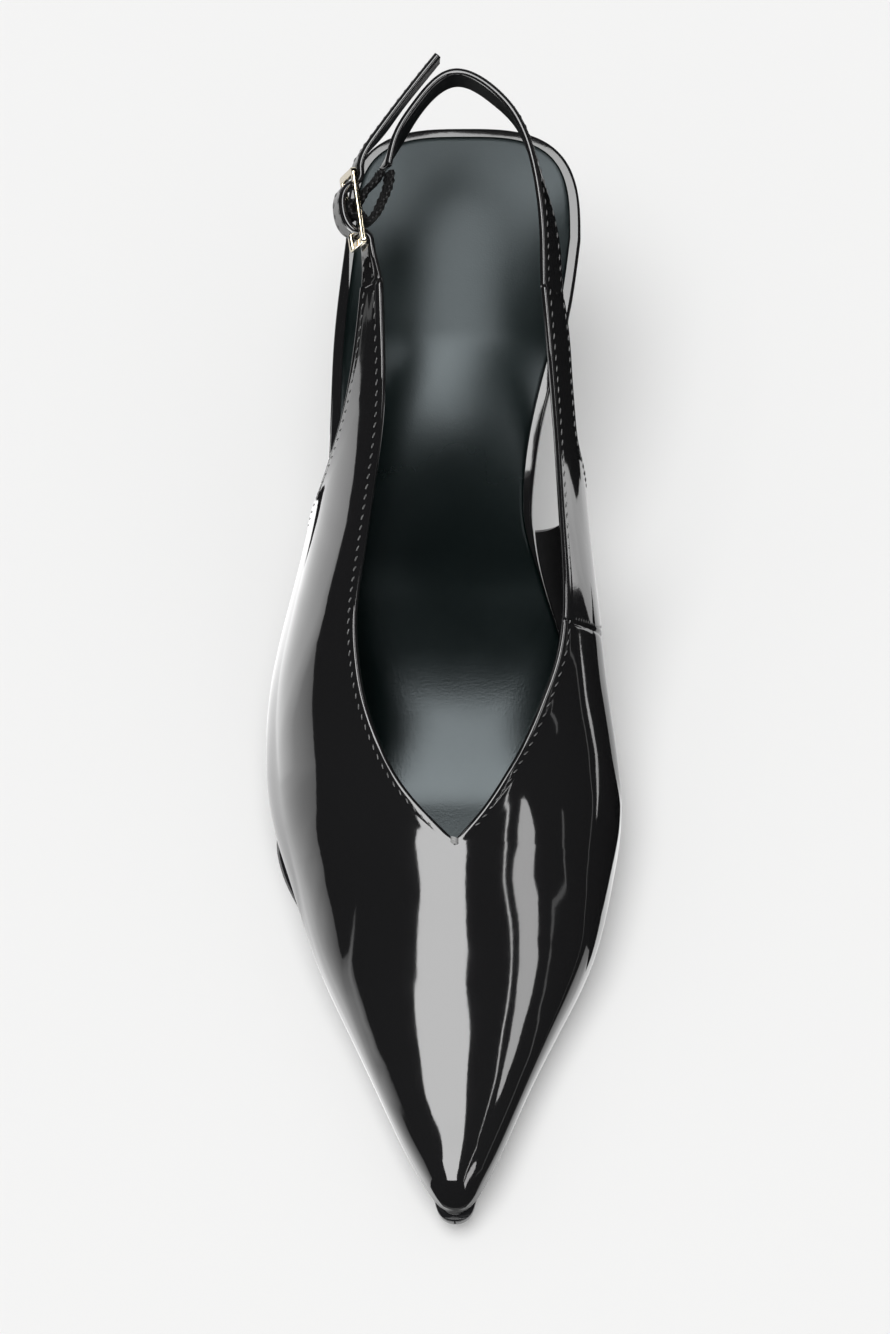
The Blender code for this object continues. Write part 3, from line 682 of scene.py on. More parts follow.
foot_ring = np.array(heel_ring(1.0, HEEL_SIDES))
foot_middle = np.array((SEAT_SHIFT, TOP_PIECE_MIDDLE))
top_piece_points = []
for inset, height in TOP_PIECE_EDGE:
    for x, y, _ in foot_ring:
        spread = np.array((x, y)) - foot_middle
        x, y = foot_middle + spread * (1.0 - inset / np.linalg.norm(spread))
        top_piece_points.append((x, y, height))
top_piece = add_piece("rubber_top_piece", top_piece_points, rings_to_faces(len(TOP_PIECE_EDGE), HEEL_SIDES),
                      [hard_rubber("hard_rubber")])
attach(top_piece, "root")
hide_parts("top_piece")

# Sock: a thin dark anthracite leather lining with a satin finish, glued over the insole from toe to heel, with
# its cut edge a little inside the wrapped rim.
PAD_MIDDLE, PAD_RADIUS, PAD_START, PAD_FULL, PAD_EASES, PAD_END = 2.6, 77.0, 140.0, 190.0, 200.0, 245.0
WAIST_STEP, WAIST_START, WAIST_END = 5.4, 146.0, 200.0
SOCK_TOE, SOCK_GLUE = 7.0, 0.02
SOCK_EDGE = ((1.2, 0.0), (0.1, 0.0), (0.0, 0.25), (0.0, 0.55), (0.12, 0.78), (0.5, 0.88), (1.2, 0.9))


def satin_sock_leather(name):
    """Satin leather in dark anthracite with a cool tint and a fine grain, crowned by the pad under the heel."""
    made, tree, shader, place = finish_of(name, {
        "Specular IOR Level": 0.28, "IOR": 1.5, "Specular Tint": (0.89, 1.0, 1.045, 1.0)})
    grain = leather_grain(tree, place, 1500.0)
    speckle = noise(tree, place, 1300.0, 4.0, 0.6)
    cloud = noise(tree, place, 55.0, 5.0, 0.55)
    tone = Shade.node(tree, "ShaderNodeValToRGB",
                      {"stops": ((0.3, (0.001, 0.0028, 0.0027)), (0.7, (0.0018, 0.0042, 0.004)))},
                      {"Fac": cloud * 0.6 + speckle * 0.4})
    across = coordinate(tree, place, "X") - PAD_MIDDLE
    along = coordinate(tree, place, "Y") - shoe_origin[1]
    fore = ramp(tree, along, PAD_START, PAD_FULL, 0.0, 1.0)
    aft = ramp(tree, along, PAD_EASES, PAD_END, 1.0, 0.0)
    crown = across * across * fore * aft * (-0.5 / PAD_RADIUS)
    waist = ramp(tree, along, WAIST_START, WAIST_END, 0.0, WAIST_STEP)
    feed(tree, shader, "Base Color", tone)
    raise_surface(tree, shader, 1.0, crown + waist + grain * 0.012 + speckle * 0.014)
    feed(tree, shader, "Roughness", cloud * 0.1 + fore * 0.1 + 0.16)
    return made


def sock_margin(side, behind_toe):
    rim, inside = 2.4, 0.9
    leaves = QUARTER_LEAVES_SOLE[side]
    return -inside - (rim - inside) * ease(behind_toe, leaves - 12.0, leaves + 2.0)


sock_front = SOCK_TOE + (SEAT_CENTRE - SOCK_TOE) * np.linspace(0.0, 1.0, 120)
sock_points, sock_faces = sole_layer(
    np.concatenate((sock_front[:-1], seat_stations(40))), sock_margin, SOCK_EDGE,
    OUTSOLE_THICKNESS + GAP + INSOLE_THICKNESS + SOCK_GLUE, 15, False)
sock = add_piece("sock_lining", sock_points, sock_faces, [satin_sock_leather("anthracite_sock")])
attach(sock, "root")

# Sling strap: the narrow end of the medial quarter, lined and folded like the rest of the upper, which runs
# round the back of the heel to the elastic.
STRAP_THICKNESS, STRAP_WIDTH, STRAP_LEAD_IN, STRAP_JOIN = 1.6, 9.0, 7.0, 0.6
FACE_STEPS, ROUND_STEPS, LINING_STEPS = 15, 7, 9
SLING_ROUTE = (  # x, behind the toe, height, lean in degrees
    (22.0, 207.0, 104.5, 20),
    (19.8, 217.5, 109.5, 10),
    (14.9, 230.3, 113.8, 5),
    (9.9, 235.7, 115.3, 4),
    (0.6, 240.2, 116.0, 5),
    (-8.1, 233.4, 114.0, 6),
    (-12.2, 227.0, 112.0, 3),
)
SLING_END = (8.9, -8.9)
BUCKLE_CENTRE = (-22.5, 210.5, 108.5)
BUCKLE_DIRECTION, BUCKLE_LEAN = (-2.6, 17.0, 5.0), 12.0


def route_through(points, count, first=0):
    """Points at even steps on a smooth curve through a short list of points, from one of them on."""
    points = np.array(points, float)
    lengths = run_lengths(points)
    curve = spline(lengths, points)
    return np.array([curve(length) for length in np.linspace(lengths[first], lengths[-1], count)])


def quarter_band(side, behind_toe):
    """Lower and upper corner of a section through a quarter's rear, in the middle of its wall."""
    low, top = quarter_edges(side, behind_toe)
    middle = (low + top) / 2
    rise = last_point(side, behind_toe, top) - last_point(side, behind_toe, low)
    run = last_point(side, behind_toe, middle) - last_point(side, behind_toe - 2.0, middle)
    shift = direction(np.cross(rise, run) * side) * UPPER_THICKNESS / 2
    return last_point(side, behind_toe, low) + shift, last_point(side, behind_toe, top) + shift


def buckle_axes():
    """Directions along the strap, up its width and outwards at the buckle."""
    along = direction(BUCKLE_DIRECTION)
    lean = math.radians(BUCKLE_LEAN)
    up = np.array((math.sin(lean), 0.0, math.cos(lean)))
    up = direction(up - along * np.dot(along, up))
    return along, up, np.cross(up, along)


def at_buckle(along_distance, out_distance):
    along, _, out = buckle_axes()
    return np.array(BUCKLE_CENTRE) + along * along_distance + out * out_distance


def leaning_band(centre, run, lean, width, inside):
    """Lower and upper edge of a band whose upper edge leans towards the inside of its loop."""
    run = direction(run)
    flat = direction((run[0], run[1], 0.0))
    inward = inside * np.array((-flat[1], flat[0], 0.0))
    angle = math.radians(lean)
    up = math.cos(angle) * np.array((0.0, 0.0, 1.0)) + math.sin(angle) * inward
    up = direction(up - run * np.dot(up, run))
    return centre - up * width / 2, centre + up * width / 2


def strap_frames(low_edge, top_edge):
    """Middle, outward and upward direction and width at each step of a band."""
    middles = (low_edge + top_edge) / 2
    runs = np.gradient(middles, axis=0)
    frames = []
    for low, top, middle, run in zip(low_edge, top_edge, middles, runs):
        width = np.linalg.norm(top - low)
        up = (top - low) / width
        frames.append((middle, direction(np.cross(direction(run), up)), up, width))
    return frames


def strap_rings(frames, outside, crown_at):
    """Closed rings of a folded strap: outer face, round edge, lining face, round edge."""
    half = STRAP_THICKNESS / 2
    rings = []
    for index, (middle, out, up, width) in enumerate(frames):
        out = out * outside
        reach = width / 2 - half
        ring = []
        for share in np.linspace(-1.0, 1.0, FACE_STEPS):
            from_edge = (1.0 - abs(share)) * reach + half
            lift = half + crown_at(index) * (1.0 - share * share) + 0.4 * fold_lift(from_edge)
            ring.append(middle + up * share * reach + out * lift)
        for turn in np.linspace(0.0, math.pi, ROUND_STEPS + 2)[1:-1]:
            ring.append(middle + up * (reach + half * math.sin(turn)) + out * half * math.cos(turn))
        for share in np.linspace(1.0, -1.0, LINING_STEPS):
            ring.append(middle + up * share * reach + out * (crown_at(index) * (1.0 - share * share) - half))
        for turn in np.linspace(math.pi, 0.0, ROUND_STEPS + 2)[1:-1]:
            ring.append(middle - up * (reach + half * math.sin(turn)) + out * half * math.cos(turn))
        rings.append(ring)
    return rings


def add_strap(name, frames, outside, crown_at, finishes):
    rings = strap_rings(frames, outside, crown_at)
    count = len(rings[0])
    faces = rings_to_faces(len(rings), count)
    lined = range(FACE_STEPS + ROUND_STEPS, FACE_STEPS + ROUND_STEPS + LINING_STEPS - 1)
    faced = [1 if index % count in lined else 0 for index in range(len(faces) - 2)] + [0, 0]
    return add_piece(name, [point for ring in rings for point in ring], faces, finishes, faced)


lead_in, start = (quarter_band(MEDIAL, QUARTER_END - before) for before in (STRAP_LEAD_IN, STRAP_JOIN))
sling_end_up = buckle_axes()[1] * STRAP_WIDTH / 2
sling_end = at_buckle(*SLING_END)
sling_centres = [sum(lead_in) / 2, sum(start) / 2, *(np.array(row[:3]) for row in SLING_ROUTE), sling_end]
sling_bands = [lead_in, start]
for index, (*_, lean) in enumerate(SLING_ROUTE, start=2):
    run = sling_centres[index + 1] - sling_centres[index - 1]
    sling_bands.append(leaning_band(sling_centres[index], run, lean, STRAP_WIDTH, 1))
sling_bands.append((sling_end - sling_end_up, sling_end + sling_end_up))
sling_low, sling_top = (route_through(edge, 150, 1) for edge in zip(*sling_bands))
sling_frames = strap_frames(sling_low, sling_top)
sling = add_strap("sling_strap", sling_frames, 1, lambda step: 0.1 + 0.2 * (1 - ease(step, 0, 25)),
                  [patent_leather("patent_strap", 13.0, 0.2), lining])
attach(sling, "root")
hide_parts("sling_strap")

# Buckle strap: the narrow end of the lateral quarter. It passes inside the buckle's front bar, over the middle
# bar, inside the rear bar, and ends in a free tail behind the heel.
TONGUE_ROUTE = (  # along and out from the buckle's middle
    (-8.7, -2.2), (-6.9, -2.0), (-5.9, -1.1), (-5.1, 0.9), (-3.1, 2.6), (0, 3.1),
    (3.1, 2.6), (5.1, 0.9), (5.9, -1.1), (6.9, -2.0), (8.7, -2.3))
TAIL_ROUTE = (  # x, behind the toe, height, lean in degrees
    (-17.2, 226.6, 113.5, 12),
    (-12.6, 232.4, 115.5, 12),
    (-6.8, 239.6, 117.5, 12),
    (-3.3, 243.9, 118.5, 12),
)
tongue_bands = [quarter_band(LATERAL, QUARTER_END - before) for before in (STRAP_LEAD_IN, STRAP_JOIN)]
tongue_up = buckle_axes()[1] * STRAP_WIDTH / 2
for along, out in TONGUE_ROUTE:
    centre = at_buckle(along, out)
    tongue_bands.append((centre - tongue_up, centre + tongue_up))
tail = [np.array(row[:3]) for row in TAIL_ROUTE]
ahead = tail[1:] + [2 * tail[-1] - tail[-2]]
for (*_, lean), centre, following in zip(TAIL_ROUTE, tail, ahead):
    tongue_bands.append(leaning_band(centre, following - centre, lean, STRAP_WIDTH, -1))
tongue_low, tongue_top = (route_through(edge, 300, 1) for edge in zip(*tongue_bands))
tongue_frames = strap_frames(tongue_low, tongue_top)
tongue = add_strap("buckle_strap", tongue_frames, -1, lambda step: 0.08 + 0.2 * (1 - ease(step, 0, 30)),
                   [patent_leather("patent_tongue", 13.0, 0.15), lining])
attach(tongue, "root")
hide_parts("buckle_strap")

# Stitches: a row of waxed black thread that holds every folded edge, sewn through outside and lining, with
# whipped stitches across the medial seam.
STITCH_LENGTH, STITCH_PITCH, STITCH_SLANT, THREAD_RADIUS, THREAD_SUNK = 1.8, 2.55, 0.55, 0.19, 0.12
WHIP_PITCH, WHIP_REACH = 0.95, 1.25
SEAM_ROUTE = ((132.2, 0.625), (132.7, 0.569), (133.2, 0.506), (134.1, 0.412), (136.3, 0.3))


def waxed_thread(name, lightened_grey, dullness):
    """Waxed twisted thread with a dull shine. Its colour is the black thread lightened to a grey, a painted
    highlight that lifts it from the leather.
    """
    made, tree, shader, place = finish_of(name, {"Base Color": (lightened_grey, lightened_grey, lightened_grey, 1.0)})
    twist = noise(tree, place, 4000.0, 2.0)
    raise_surface(tree, shader, 0.6, twist * 0.05)
    feed(tree, shader, "Roughness", twist * 0.2 + dullness)
    return made


def between(rows, lengths, at):
    return np.array([np.interp(at, lengths, column) for column in np.transpose(rows)])


def add_stitches(name, paths, finish, thread_radius):
    """Short arched threads set at even steps along paths of points and outward directions."""
    points, faces = [], []
    sides, rings = 6, 7
    for path, normals in paths:
        lengths = run_lengths(path)
        for start in np.arange(0.6, lengths[-1] - STITCH_LENGTH, STITCH_PITCH):
            first = len(points)
            for share in np.linspace(0.0, 1.0, rings):
                at = start + STITCH_LENGTH * share
                here = between(path, lengths, at)
                run = direction(between(path, lengths, at + 0.2) - between(path, lengths, at - 0.2))
                out = direction(between(normals, lengths, at))
                across = np.cross(run, out)
                arch = math.sin(math.pi * share)
                radius = thread_radius * (0.35 + 0.65 * arch ** 0.5)
                lift = thread_radius * 1.1 * arch - THREAD_SUNK
                middle = here + out * lift + across * STITCH_SLANT * (share - 0.5)
                for turn in np.linspace(0.0, 2 * math.pi, sides, endpoint=False):
                    points.append(middle + radius * (across * math.cos(turn) + out * math.sin(turn)))
            faces += [tuple(first + corner for corner in face) for face in rings_to_faces(rings, sides)]
    return add_piece(name, points, faces, [finish])


def edge_path(side, from_top, start, end, count):
    """Places and outward directions of a stitch row beside the upper's top or low edge."""
    path, normals = [], []
    for behind_toe in np.linspace(start, end, count):
        climbs, lengths = section_line(side, behind_toe, 50)
        inset = min(STITCH_INSET, 0.3 * lengths[-1])
        climb = float(np.interp(lengths[-1] - inset if from_top else inset, lengths, climbs))
        path.append(last_point(side, behind_toe, climb))
        normals.append(last_normal(side, behind_toe, climb))
    return path, normals


def strap_path(frames, outside, edge, start, end):
    """A stitch row along a strap, on its outer face beside one edge."""
    path, normals = [], []
    for middle, out, up, width in frames[start:end]:
        out = out * outside
        path.append(middle + up * edge * (width / 2 - STITCH_INSET) + out * STRAP_THICKNESS / 2)
        normals.append(out)
    return path, normals


stitch_rows = []
for side in (LATERAL, MEDIAL):
    stitch_rows.append(edge_path(side, True, THROAT + 2.6, QUARTER_END - 0.2, 160))
    stitch_rows.append(edge_path(side, False, QUARTER_LEAVES_SOLE[side] + 3.2, QUARTER_END - 0.2, 90))
for share in (-1, 1):
    stitch_rows.append(strap_path(sling_frames, 1, share, 2, 148))
    stitch_rows.append(strap_path(tongue_frames, -1, share, 2, 297))
seam_places, seam_heights = zip(*SEAM_ROUTE[::-1])
seam_climb = spline(seam_heights, seam_places)
seam_climbs = np.linspace(BULGE_CLIMB, SEAM_TOP, 80)
seam_lengths = run_lengths([last_point(MEDIAL, float(seam_climb(climb)), climb) for climb in seam_climbs])
for length in np.arange(0.5, seam_lengths[-1], WHIP_PITCH):
    climb = float(np.interp(length, seam_lengths, seam_climbs))
    behind_toe = float(seam_climb(climb))
    ends = [last_point(MEDIAL, behind_toe + reach, climb) for reach in (-WHIP_REACH, WHIP_REACH)]
    stitch_rows.append((ends, [last_normal(MEDIAL, behind_toe, climb)] * 2))
# The stitch thread's grey of 0.08 is black thread lightened: a painted highlight along the stitches.
stitches = add_stitches("edge_stitches", stitch_rows, waxed_thread("black_thread_painted_highlight", 0.08, 0.2), THREAD_RADIUS)
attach(stitches, "root")

# Throat tack: a few turns of waxed thread sewn side by side across the point of the throat. They keep the two
# sides of the V from tearing apart.
TACK_RADIUS, TACK_HALF, TACK_LIFT, TACK_TURNS = 0.42, 1.5, 0.35, (-0.45, 0.0, 0.45)
tack_rows = []
for turn in TACK_TURNS:
    place = last_point(LATERAL, THROAT + turn, 1.0) + (0.0, 0.0, TACK_LIFT)
    tack_rows.append(([place - (TACK_HALF, 0.0, 0.0), place + (TACK_HALF, 0.0, 0.0)],
                      [last_normal(LATERAL, THROAT - 2.0, 0.99)] * 2))
# The tack's light grey of 0.3 is a painted highlight: the thread is black, and its bright sheen is painted into
# its colour.
tack = add_stitches("throat_tack", tack_rows, waxed_thread("tack_thread_painted_highlight", 0.3, 0.05), TACK_RADIUS)
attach(tack, "root")

# Elastic: a flat black braid of rubber-cored cords, which lets the strap give. It is folded round the buckle's
# middle bar, and its ends are sewn into the end of the sling strap.
CORD_RADIUS, CORD_PITCH, ELASTIC_WIDTH, ELASTIC_STEPS = 0.95, 1.7, 7.4, 43
ELASTIC_REAR_STRAND = ((8.0, -7.7), (5.6, -5.6), (3.0, -2.6))
ELASTIC_TURN_RADIUS, ELASTIC_TURN = 1.55, (-35.0, 215.0)
ELASTIC_FRONT_STRAND = ((-3.2, -2.2), (-2.4, -4.2), (1.0, -6.8), (5.0, -9.0), (7.7, -9.6))


def arc_points(radius, turn, count):
    """Points round the buckle's middle bar, from one angle to another, as distances along and outwards."""
    angles = np.radians(np.linspace(*turn, count))
    return [(radius * math.cos(angle), radius * math.sin(angle)) for angle in angles]


def braided_cord(name):
    """Black braided elastic: matt crossing threads with a little fuzz."""
    made, tree, shader, place = finish_of(name, {
        "Base Color": (0.007, 0.007, 0.0073, 1.0), "Specular IOR Level": 0.25})
    fuzz = noise(tree, place, 3000.0, 3.0)
    raise_surface(tree, shader, 0.8, fuzz * 0.12)
    feed(tree, shader, "Roughness", fuzz * 0.3 + 0.4)
    return made


elastic_path = [*ELASTIC_REAR_STRAND, *arc_points(ELASTIC_TURN_RADIUS, ELASTIC_TURN, 9), *ELASTIC_FRONT_STRAND]
elastic_centres = route_through([at_buckle(along, out) for along, out in elastic_path], 240)
elastic_up = buckle_axes()[1]
elastic_runs = np.gradient(elastic_centres, axis=0)
elastic_points = []
elastic_lengths = run_lengths(elastic_centres)
for centre, run, length in zip(elastic_centres, elastic_runs, elastic_lengths):
    out = direction(np.cross(run, elastic_up))
    for face in (1, -1):
        for share in np.linspace(-1.0, 1.0, ELASTIC_STEPS) * face:
            cord = abs(math.cos(share * math.pi * 3))
            crossing = length / CORD_PITCH + round(share * 3) * 0.5 + face * 0.25
            knot = 0.5 + 0.5 * math.sin(2 * math.pi * crossing)
            lift = CORD_RADIUS * (0.4 + 0.25 * cord + 0.35 * knot * cord) * (1 - abs(share) ** 8) ** 0.5
            rise = share * (ELASTIC_WIDTH / 2 + 0.35 * knot * abs(share) ** 4)
            elastic_points.append(centre + elastic_up * rise + out * lift * face)
elastic_faces = rings_to_faces(len(elastic_centres), 2 * ELASTIC_STEPS)
elastic = add_piece("braided_elastic", elastic_points, elastic_faces, [braided_cord("black_braid")])
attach(elastic, "root")
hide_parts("elastic")

# Buckle: a flat rectangular frame with a middle bar, cast in one, polished and plated in pale gold. The elastic
# holds it by the middle bar, and the buckle strap passes through it.
BUCKLE_LENGTH, BUCKLE_HEIGHT, BUCKLE_THICKNESS = 17.6, 14.2, 1.3
BUCKLE_BAR, BUCKLE_MIDDLE_BAR, BUCKLE_ROUNDING, BUCKLE_CORNER = 1.6, 1.2, 0.3, 0.9


def pale_gold(name):
    """Polished plating in a pale champagne gold, with hairline handling marks."""
    made, tree, shader, place = finish_of(name, {"Metallic": 1.0})
    marks = noise(tree, place, 700.0, 6.0)
    tone = Shade.node(tree, "ShaderNodeValToRGB",
                      {"stops": ((0.3, (0.78, 0.68, 0.5)), (0.7, (0.86, 0.78, 0.61)))}, {"Fac": marks})
    feed(tree, shader, "Base Color", tone)
    raise_surface(tree, shader, 0.15, marks * 0.05)
    feed(tree, shader, "Roughness", marks * 0.12 + 0.06)
    return made


def bevelled_curve(name, dimensions, depth):
    curve = bpy.data.curves.new(name, "CURVE")
    curve.dimensions = dimensions
    curve.bevel_depth = depth * MM
    curve.bevel_resolution = 4
    return curve


def poly_line(curve, places):
    """A line of straight steps through places in millimetres."""
    line = curve.splines.new("POLY")
    line.points.add(len(places) - 1)
    for point, (x, y, z) in zip(line.points, places):
        point.co = (x * MM, y * MM, z * MM, 1.0)
    return line


def rounded_rectangle(curve, left, right, bottom, top, corner):
    """A closed outline with rounded corners in the curve's plane."""
    places = []
    for x, y, start in ((right - corner, top - corner, 0), (left + corner, top - corner, 90),
                        (left + corner, bottom + corner, 180), (right - corner, bottom + corner, 270)):
        for turn in np.radians(np.linspace(start, start + 90, 7)):
            places.append((x + corner * math.cos(turn), y + corner * math.sin(turn), 0.0))
    poly_line(curve, places).use_cyclic_u = True


def place_at_buckle(piece):
    along, up, out = buckle_axes()
    turn = Matrix((along, up, out)).transposed().to_4x4()
    piece.matrix_world = Matrix.Translation((np.array(BUCKLE_CENTRE) + shoe_origin) * MM) @ turn


gold = pale_gold("pale_gold")
frame_curve = bevelled_curve("buckle_frame", "2D", BUCKLE_ROUNDING)
frame_curve.fill_mode = "BOTH"
frame_curve.extrude = (BUCKLE_THICKNESS / 2 - BUCKLE_ROUNDING) * MM
half_length, half_height = BUCKLE_LENGTH / 2 - BUCKLE_ROUNDING, BUCKLE_HEIGHT / 2 - BUCKLE_ROUNDING
window_end = half_length - BUCKLE_BAR + 2 * BUCKLE_ROUNDING
window_top = half_height - BUCKLE_BAR + 2 * BUCKLE_ROUNDING
window_start = BUCKLE_MIDDLE_BAR / 2 - BUCKLE_ROUNDING
rounded_rectangle(frame_curve, -half_length, half_length, -half_height, half_height, BUCKLE_CORNER)
rounded_rectangle(frame_curve, -window_end, -window_start, -window_top, window_top, BUCKLE_ROUNDING)
rounded_rectangle(frame_curve, window_start, window_end, -window_top, window_top, BUCKLE_ROUNDING)
buckle = put_in_scene("buckle_frame", frame_curve)
frame_curve.materials.append(gold)
place_at_buckle(buckle)
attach(buckle, "root")
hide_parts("buckle")

# Prong: a plated wire hooked round the middle bar. It comes out through the strap's hole and lies on the
# front bar.
PRONG_WIRE, PRONG_TURN_RADIUS, PRONG_TURN = 0.45, 1.55, (-150.0, 90.0)
PRONG_REACH = ((-3.5, 1.5), (-7.0, 1.42), (-9.0, 1.4))
prong_curve = bevelled_curve("buckle_prong_wire", "3D", PRONG_WIRE)
prong_curve.use_fill_caps = True
prong_places = [*arc_points(PRONG_TURN_RADIUS, PRONG_TURN, 25), *PRONG_REACH]
poly_line(prong_curve, [(along, 0.0, out) for along, out in prong_places]).use_smooth = True
prong = put_in_scene("buckle_prong_wire", prong_curve)
prong_curve.materials.append(gold)
place_at_buckle(prong)
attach(prong, "root")
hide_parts("buckle_prong")

# Stage: a plain pale floor under an even soft light. Glowing panels overhead, to the right, low on the left and
# on the floor are what the shoe's gloss shows, and black ones keep the rest of the floor out of it.
FLOOR_HALF, ROOM_LIGHT, LIGHT_TILT, LIGHT_SPREAD = 6.0, 0.27, -6, 40
floor_mesh = bpy.data.meshes.new("floor")
floor_corners = [(x * FLOOR_HALF, y * FLOOR_HALF, 0) for x, y in ((-1, -1), (1, -1), (1, 1), (-1, 1))]
floor_mesh.from_pydata(floor_corners, [], [(0, 1, 2, 3)])
floor = put_in_scene("floor", floor_mesh)
floor_finish, *_ = finish_of("pale_floor", {
    "Base Color": (0.8, 0.8, 0.797, 1.0), "Roughness": 0.9, "Specular IOR Level": 0.0})
floor_mesh.materials.append(floor_finish)

world = bpy.data.worlds.new("soft_room")
world.use_nodes = True
background = world.node_tree.nodes["Background"]
background.inputs["Color"].default_value = (1.0, 1.0, 1.0, 1.0)
background.inputs["Strength"].default_value = ROOM_LIGHT
world.cycles_visibility.glossy = False
bpy.context.scene.world = world

for name, energy, casts_shadow in (("wide_soft_light", 1.8, True), ("even_fill", 0.95, False)):
    light_data = bpy.data.lights.new(name, "SUN")
    light_data.energy = energy
    light_data.angle = math.radians(LIGHT_SPREAD)
    light_data.use_shadow = casts_shadow
    light = put_in_scene(name, light_data)
    light.rotation_euler = (0.0, math.radians(LIGHT_TILT), 0.0)
    light.visible_glossy = False


def gloss_panel(name, rows):
    """A flat panel seen only in the shoe's gloss, from rows of two corners and how bright each is."""
    mesh = bpy.data.meshes.new(name)
    corners = [(np.array(corner) + shoe_origin) * MM for row in rows for corner in row[:2]]
    quads = [(2 * row, 2 * row + 1, 2 * row + 3, 2 * row + 2) for row in range(len(rows) - 1)]
    mesh.from_pydata(corners, [], quads)
    glow = mesh.color_attributes.new("glow", "FLOAT_COLOR", "POINT")
    for shade, bright in zip(glow.data, [bright for row in rows for bright in row[2:]]):
        shade.color = (bright, bright, bright, 1.0)
    panel = put_in_scene(name, mesh)
    made, tree, shader, _ = finish_of(name, {
        "Base Color": (0.0, 0.0, 0.0, 1.0), "Specular IOR Level": 0.0, "Emission Strength": 1.0})
    feed(tree, shader, "Emission Color", Shade.node(tree, "ShaderNodeAttribute", {"attribute_name": "glow"}))
    mesh.materials.append(made)
    panel.visible_camera = panel.visible_diffuse = panel.visible_shadow = False


def level_rows(height, table):
    """Rows of a level panel: how far behind the toe, two places across, and how bright both or each are."""
    return [((first, behind_toe, height), (second, behind_toe, height), bright[0], bright[-1])
            for behind_toe, first, second, *bright in table]


def upright_rows(x, table):
    """Rows of an upright panel: how far behind the toe, two heights, and how bright both or each are."""
    return [((x, behind_toe, low), (x, behind_toe, high), bright[0], bright[-1])
            for behind_toe, low, high, *bright in table]


OVERHEAD, UNDER_LIGHT, ON_FLOOR, RIGHT, LEFT = 1000, 0.3, 0.5, 900, -100
gloss_panel("overhead_panel", level_rows(OVERHEAD, (
    (-950, -370, 60, 11.5), (-600, -360, 62, 11.5), (-300, -365, 85, 11.5), (-200, -375, 110, 11.5),
    (0, -385, 115, 11.5), (100, -310, 140, 11.5), (180, -240, 175, 11), (300, -210, 260, 10),
    (420, -220, 330, 8.5))))
gloss_panel("right_panel", upright_rows(RIGHT, (
    (-90, 1235, 1255, 7.5), (-130, 1150, 1330, 7.5), (-300, 1050, 1400, 7.5), (-550, 1010, 1430, 7.5),
    (-850, 1010, 1540, 7.5), (-1350, 1110, 1580, 7.5), (-2200, 1180, 1700, 7.5))))
gloss_panel("right_light_bar", upright_rows(RIGHT, (
    (125, 1660, 1700, 9), (-230, 1690, 1770, 9), (-500, 1800, 1890, 9), (-1450, 1900, 1990, 9),
    (-2200, 1950, 2050, 9))))
gloss_panel("right_low_bar", upright_rows(RIGHT, (
    (30, 500, 530, 1.3), (-275, 405, 435, 1.3), (-500, 625, 665, 1.3), (-640, 680, 720, 1.3))))
gloss_panel("left_card", upright_rows(LEFT, (
    (-60, 0, 60, 6, 1), (-5, 0, 70, 6, 1), (5, 0, 62, 6, 1), (8, 0, 66, 6, 1), (11, 0, 88, 6, 0.8),
    (14, 0, 62, 6, 1), (20, 0, 47, 6, 1), (38, 0, 44, 5.4, 1.2), (53, 0, 42, 4.6, 1.4), (70, 0, 45, 4.2, 1.6),
    (84, 0, 55, 4.2, 1.8), (98, 0, 61, 4.4, 1.8), (108, 0, 63, 4.8, 2.2), (112, 0, 73, 5.6, 3.2),
    (118, 0, 84, 7.0, 4.0), (135, 0, 90, 7.5, 4.0), (170, 0, 92, 7.5, 4.0))))
gloss_panel("left_floor_beside", level_rows(ON_FLOOR, (
    (-60, -2, -20, 1.2, 6), (0, -8, -28, 1.2, 6), (28, -16, -37, 1.2, 6), (40, -22, -42, 1.1, 5.6),
    (55, -29, -50, 0.9, 4.8), (70, -36, -60, 0.6, 4.0), (90, -41, -85, 0.6, 4.0), (110, -43, -92, 0.6, 4.3),
    (130, -41, -94, 0.8, 5.2), (150, -36, -94, 0.9, 5.8), (200, -26, -94, 0.9, 5.8))))
gloss_panel("left_floor", level_rows(ON_FLOOR, (
    (-60, -20, LEFT, 6), (0, -28, LEFT, 6), (28, -37, LEFT, 6), (40, -42, LEFT, 5.6, 5.4),
    (55, -50, LEFT, 4.8, 4.6), (70, -60, LEFT, 4.0, 4.2), (90, -85, LEFT, 4.0, 4.2),
    (110, -92, LEFT, 4.3, 4.8), (130, -94, LEFT, 5.2, 7.0), (200, -94, LEFT, 5.8, 7.5))))
gloss_panel("left_rear_floor", level_rows(ON_FLOOR, ((201, 0, LEFT, 0.6, 0.8), (600, 0, LEFT, 0.6, 0.8))))
gloss_panel("right_floor_beside", level_rows(ON_FLOOR, (
    (-60, 2, 20, 0.8, 3.6), (0, 8, 25, 0.8, 3.6), (28, 15, 32, 0.8, 3.6), (42, 22, 38, 0.8, 3.6),
    (57, 29, 47, 0.8, 3.6), (72, 35, 54, 0.8, 3.0), (96, 37, 46, 0.7, 2.0), (104, 38, 46, 0.7, 1.6),
    (120, 36, 60, 0.7, 1.0), (145, 30, 72, 0.7, 1.2), (160, 26, 80, 0.7, 2.2), (200, 26, 80, 0.6, 1.7),
    (230, 30, 80, 0.5, 1.0))))
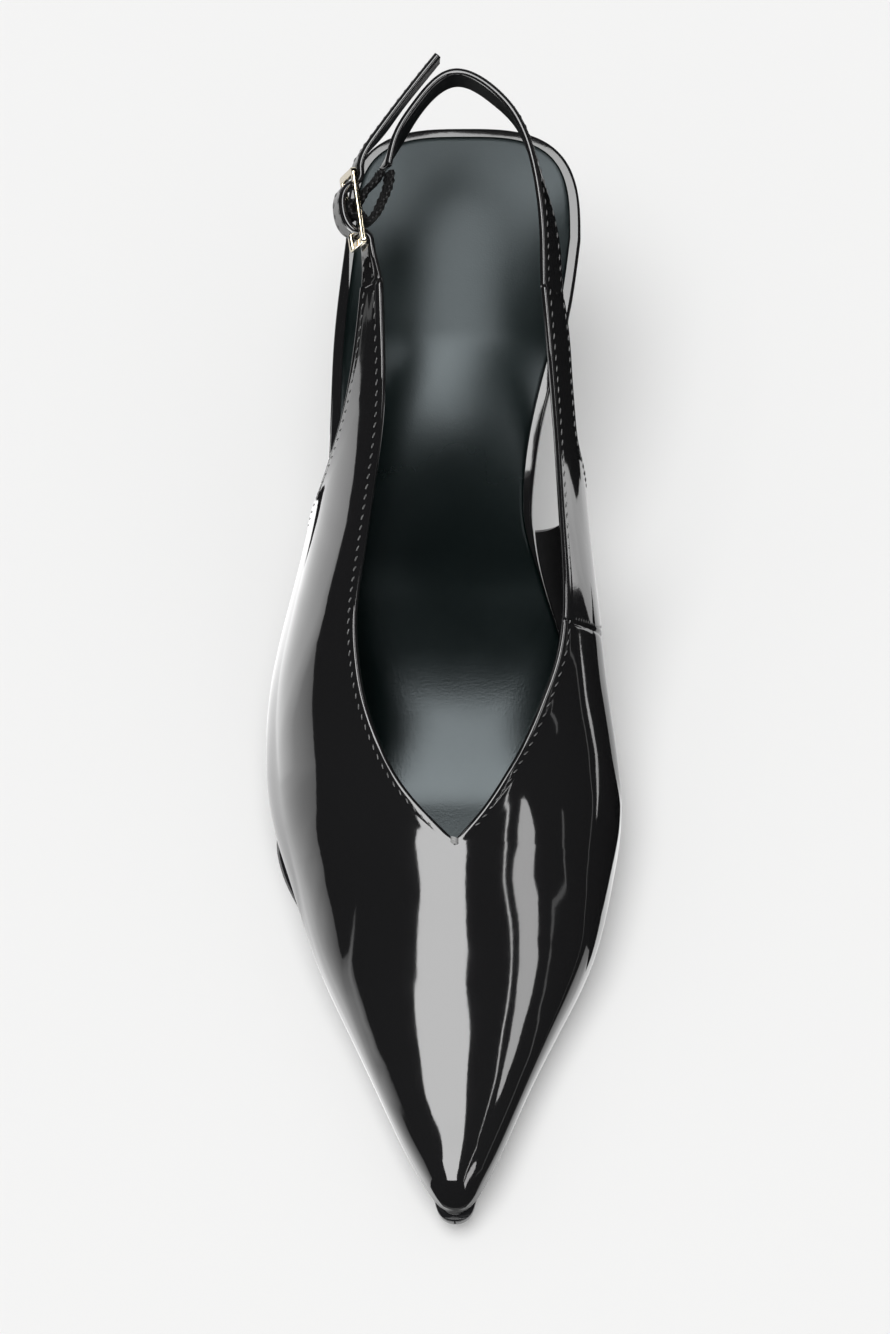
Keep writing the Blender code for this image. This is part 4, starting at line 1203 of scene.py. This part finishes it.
gloss_panel("right_floor_front", level_rows(ON_FLOOR, (
    (-60, 20, 130, 3.6, 1.5), (0, 25, 130, 3.6, 1.5), (28, 32, 130, 3.6, 1.5), (42, 38, 120, 3.6, 1.5),
    (55, 46, 70, 3.6, 1.5))))
gloss_panel("right_floor_behind", level_rows(ON_FLOOR, (
    (112, 272, 300, 5), (120, 240, 300, 5), (128, 214, 290, 5), (137, 180, 280, 4, 5), (142, 150, 260, 3, 5),
    (146, 90, 240, 2, 5), (152, 84, 220, 2.1, 5), (160, 80, 190, 2.2, 4), (168, 80, 130, 2.2, 3),
    (176, 80, 105, 1.9, 2.2), (185, 80, 90, 1.8))))
gloss_panel("dark_right_floor", level_rows(UNDER_LIGHT, ((-600, 40, 1500, 0), (600, 40, 1500, 0))))
gloss_panel("dark_left_floor", level_rows(UNDER_LIGHT, ((-600, LEFT - 2, -1500, 0), (600, LEFT - 2, -1500, 0))))

# Camera: high in front of the toe, looking down along the shoe, as in the photograph. It is turned to put the
# shoe in the middle of the frame.
PHOTO_HEIGHT, FOCAL = 1334, 5105.4
VIEW_ELEVATION, VIEW_DISTANCE, VIEW_TARGET, SIDE_STEP = 70.0, 1200.0, (41.17, 124.30, 40.0), -187.0
elevation = math.radians(VIEW_ELEVATION)
forward = np.array((0.0, math.cos(elevation), -math.sin(elevation)))
eye = np.array(VIEW_TARGET) - forward * VIEW_DISTANCE
photo_view = Matrix(((1, 0, 0), (0, math.sin(elevation), -math.cos(elevation)),
                     (0, math.cos(elevation), math.sin(elevation))))
turn = Vector((0.0, 0.0, -FOCAL)).rotation_difference(Vector((SIDE_STEP, 0.0, -FOCAL))).to_matrix()
camera_data = bpy.data.cameras.new("camera")
camera_data.sensor_fit = "VERTICAL"
camera_data.sensor_height = 36.0
camera_data.lens = FOCAL / PHOTO_HEIGHT * camera_data.sensor_height
camera = put_in_scene("camera", camera_data)
camera.matrix_world = Matrix.Translation((eye + shoe_origin) * MM) @ (photo_view @ turn).to_4x4()
bpy.context.scene.camera = camera
bpy.context.scene.view_settings.view_transform = "Standard"
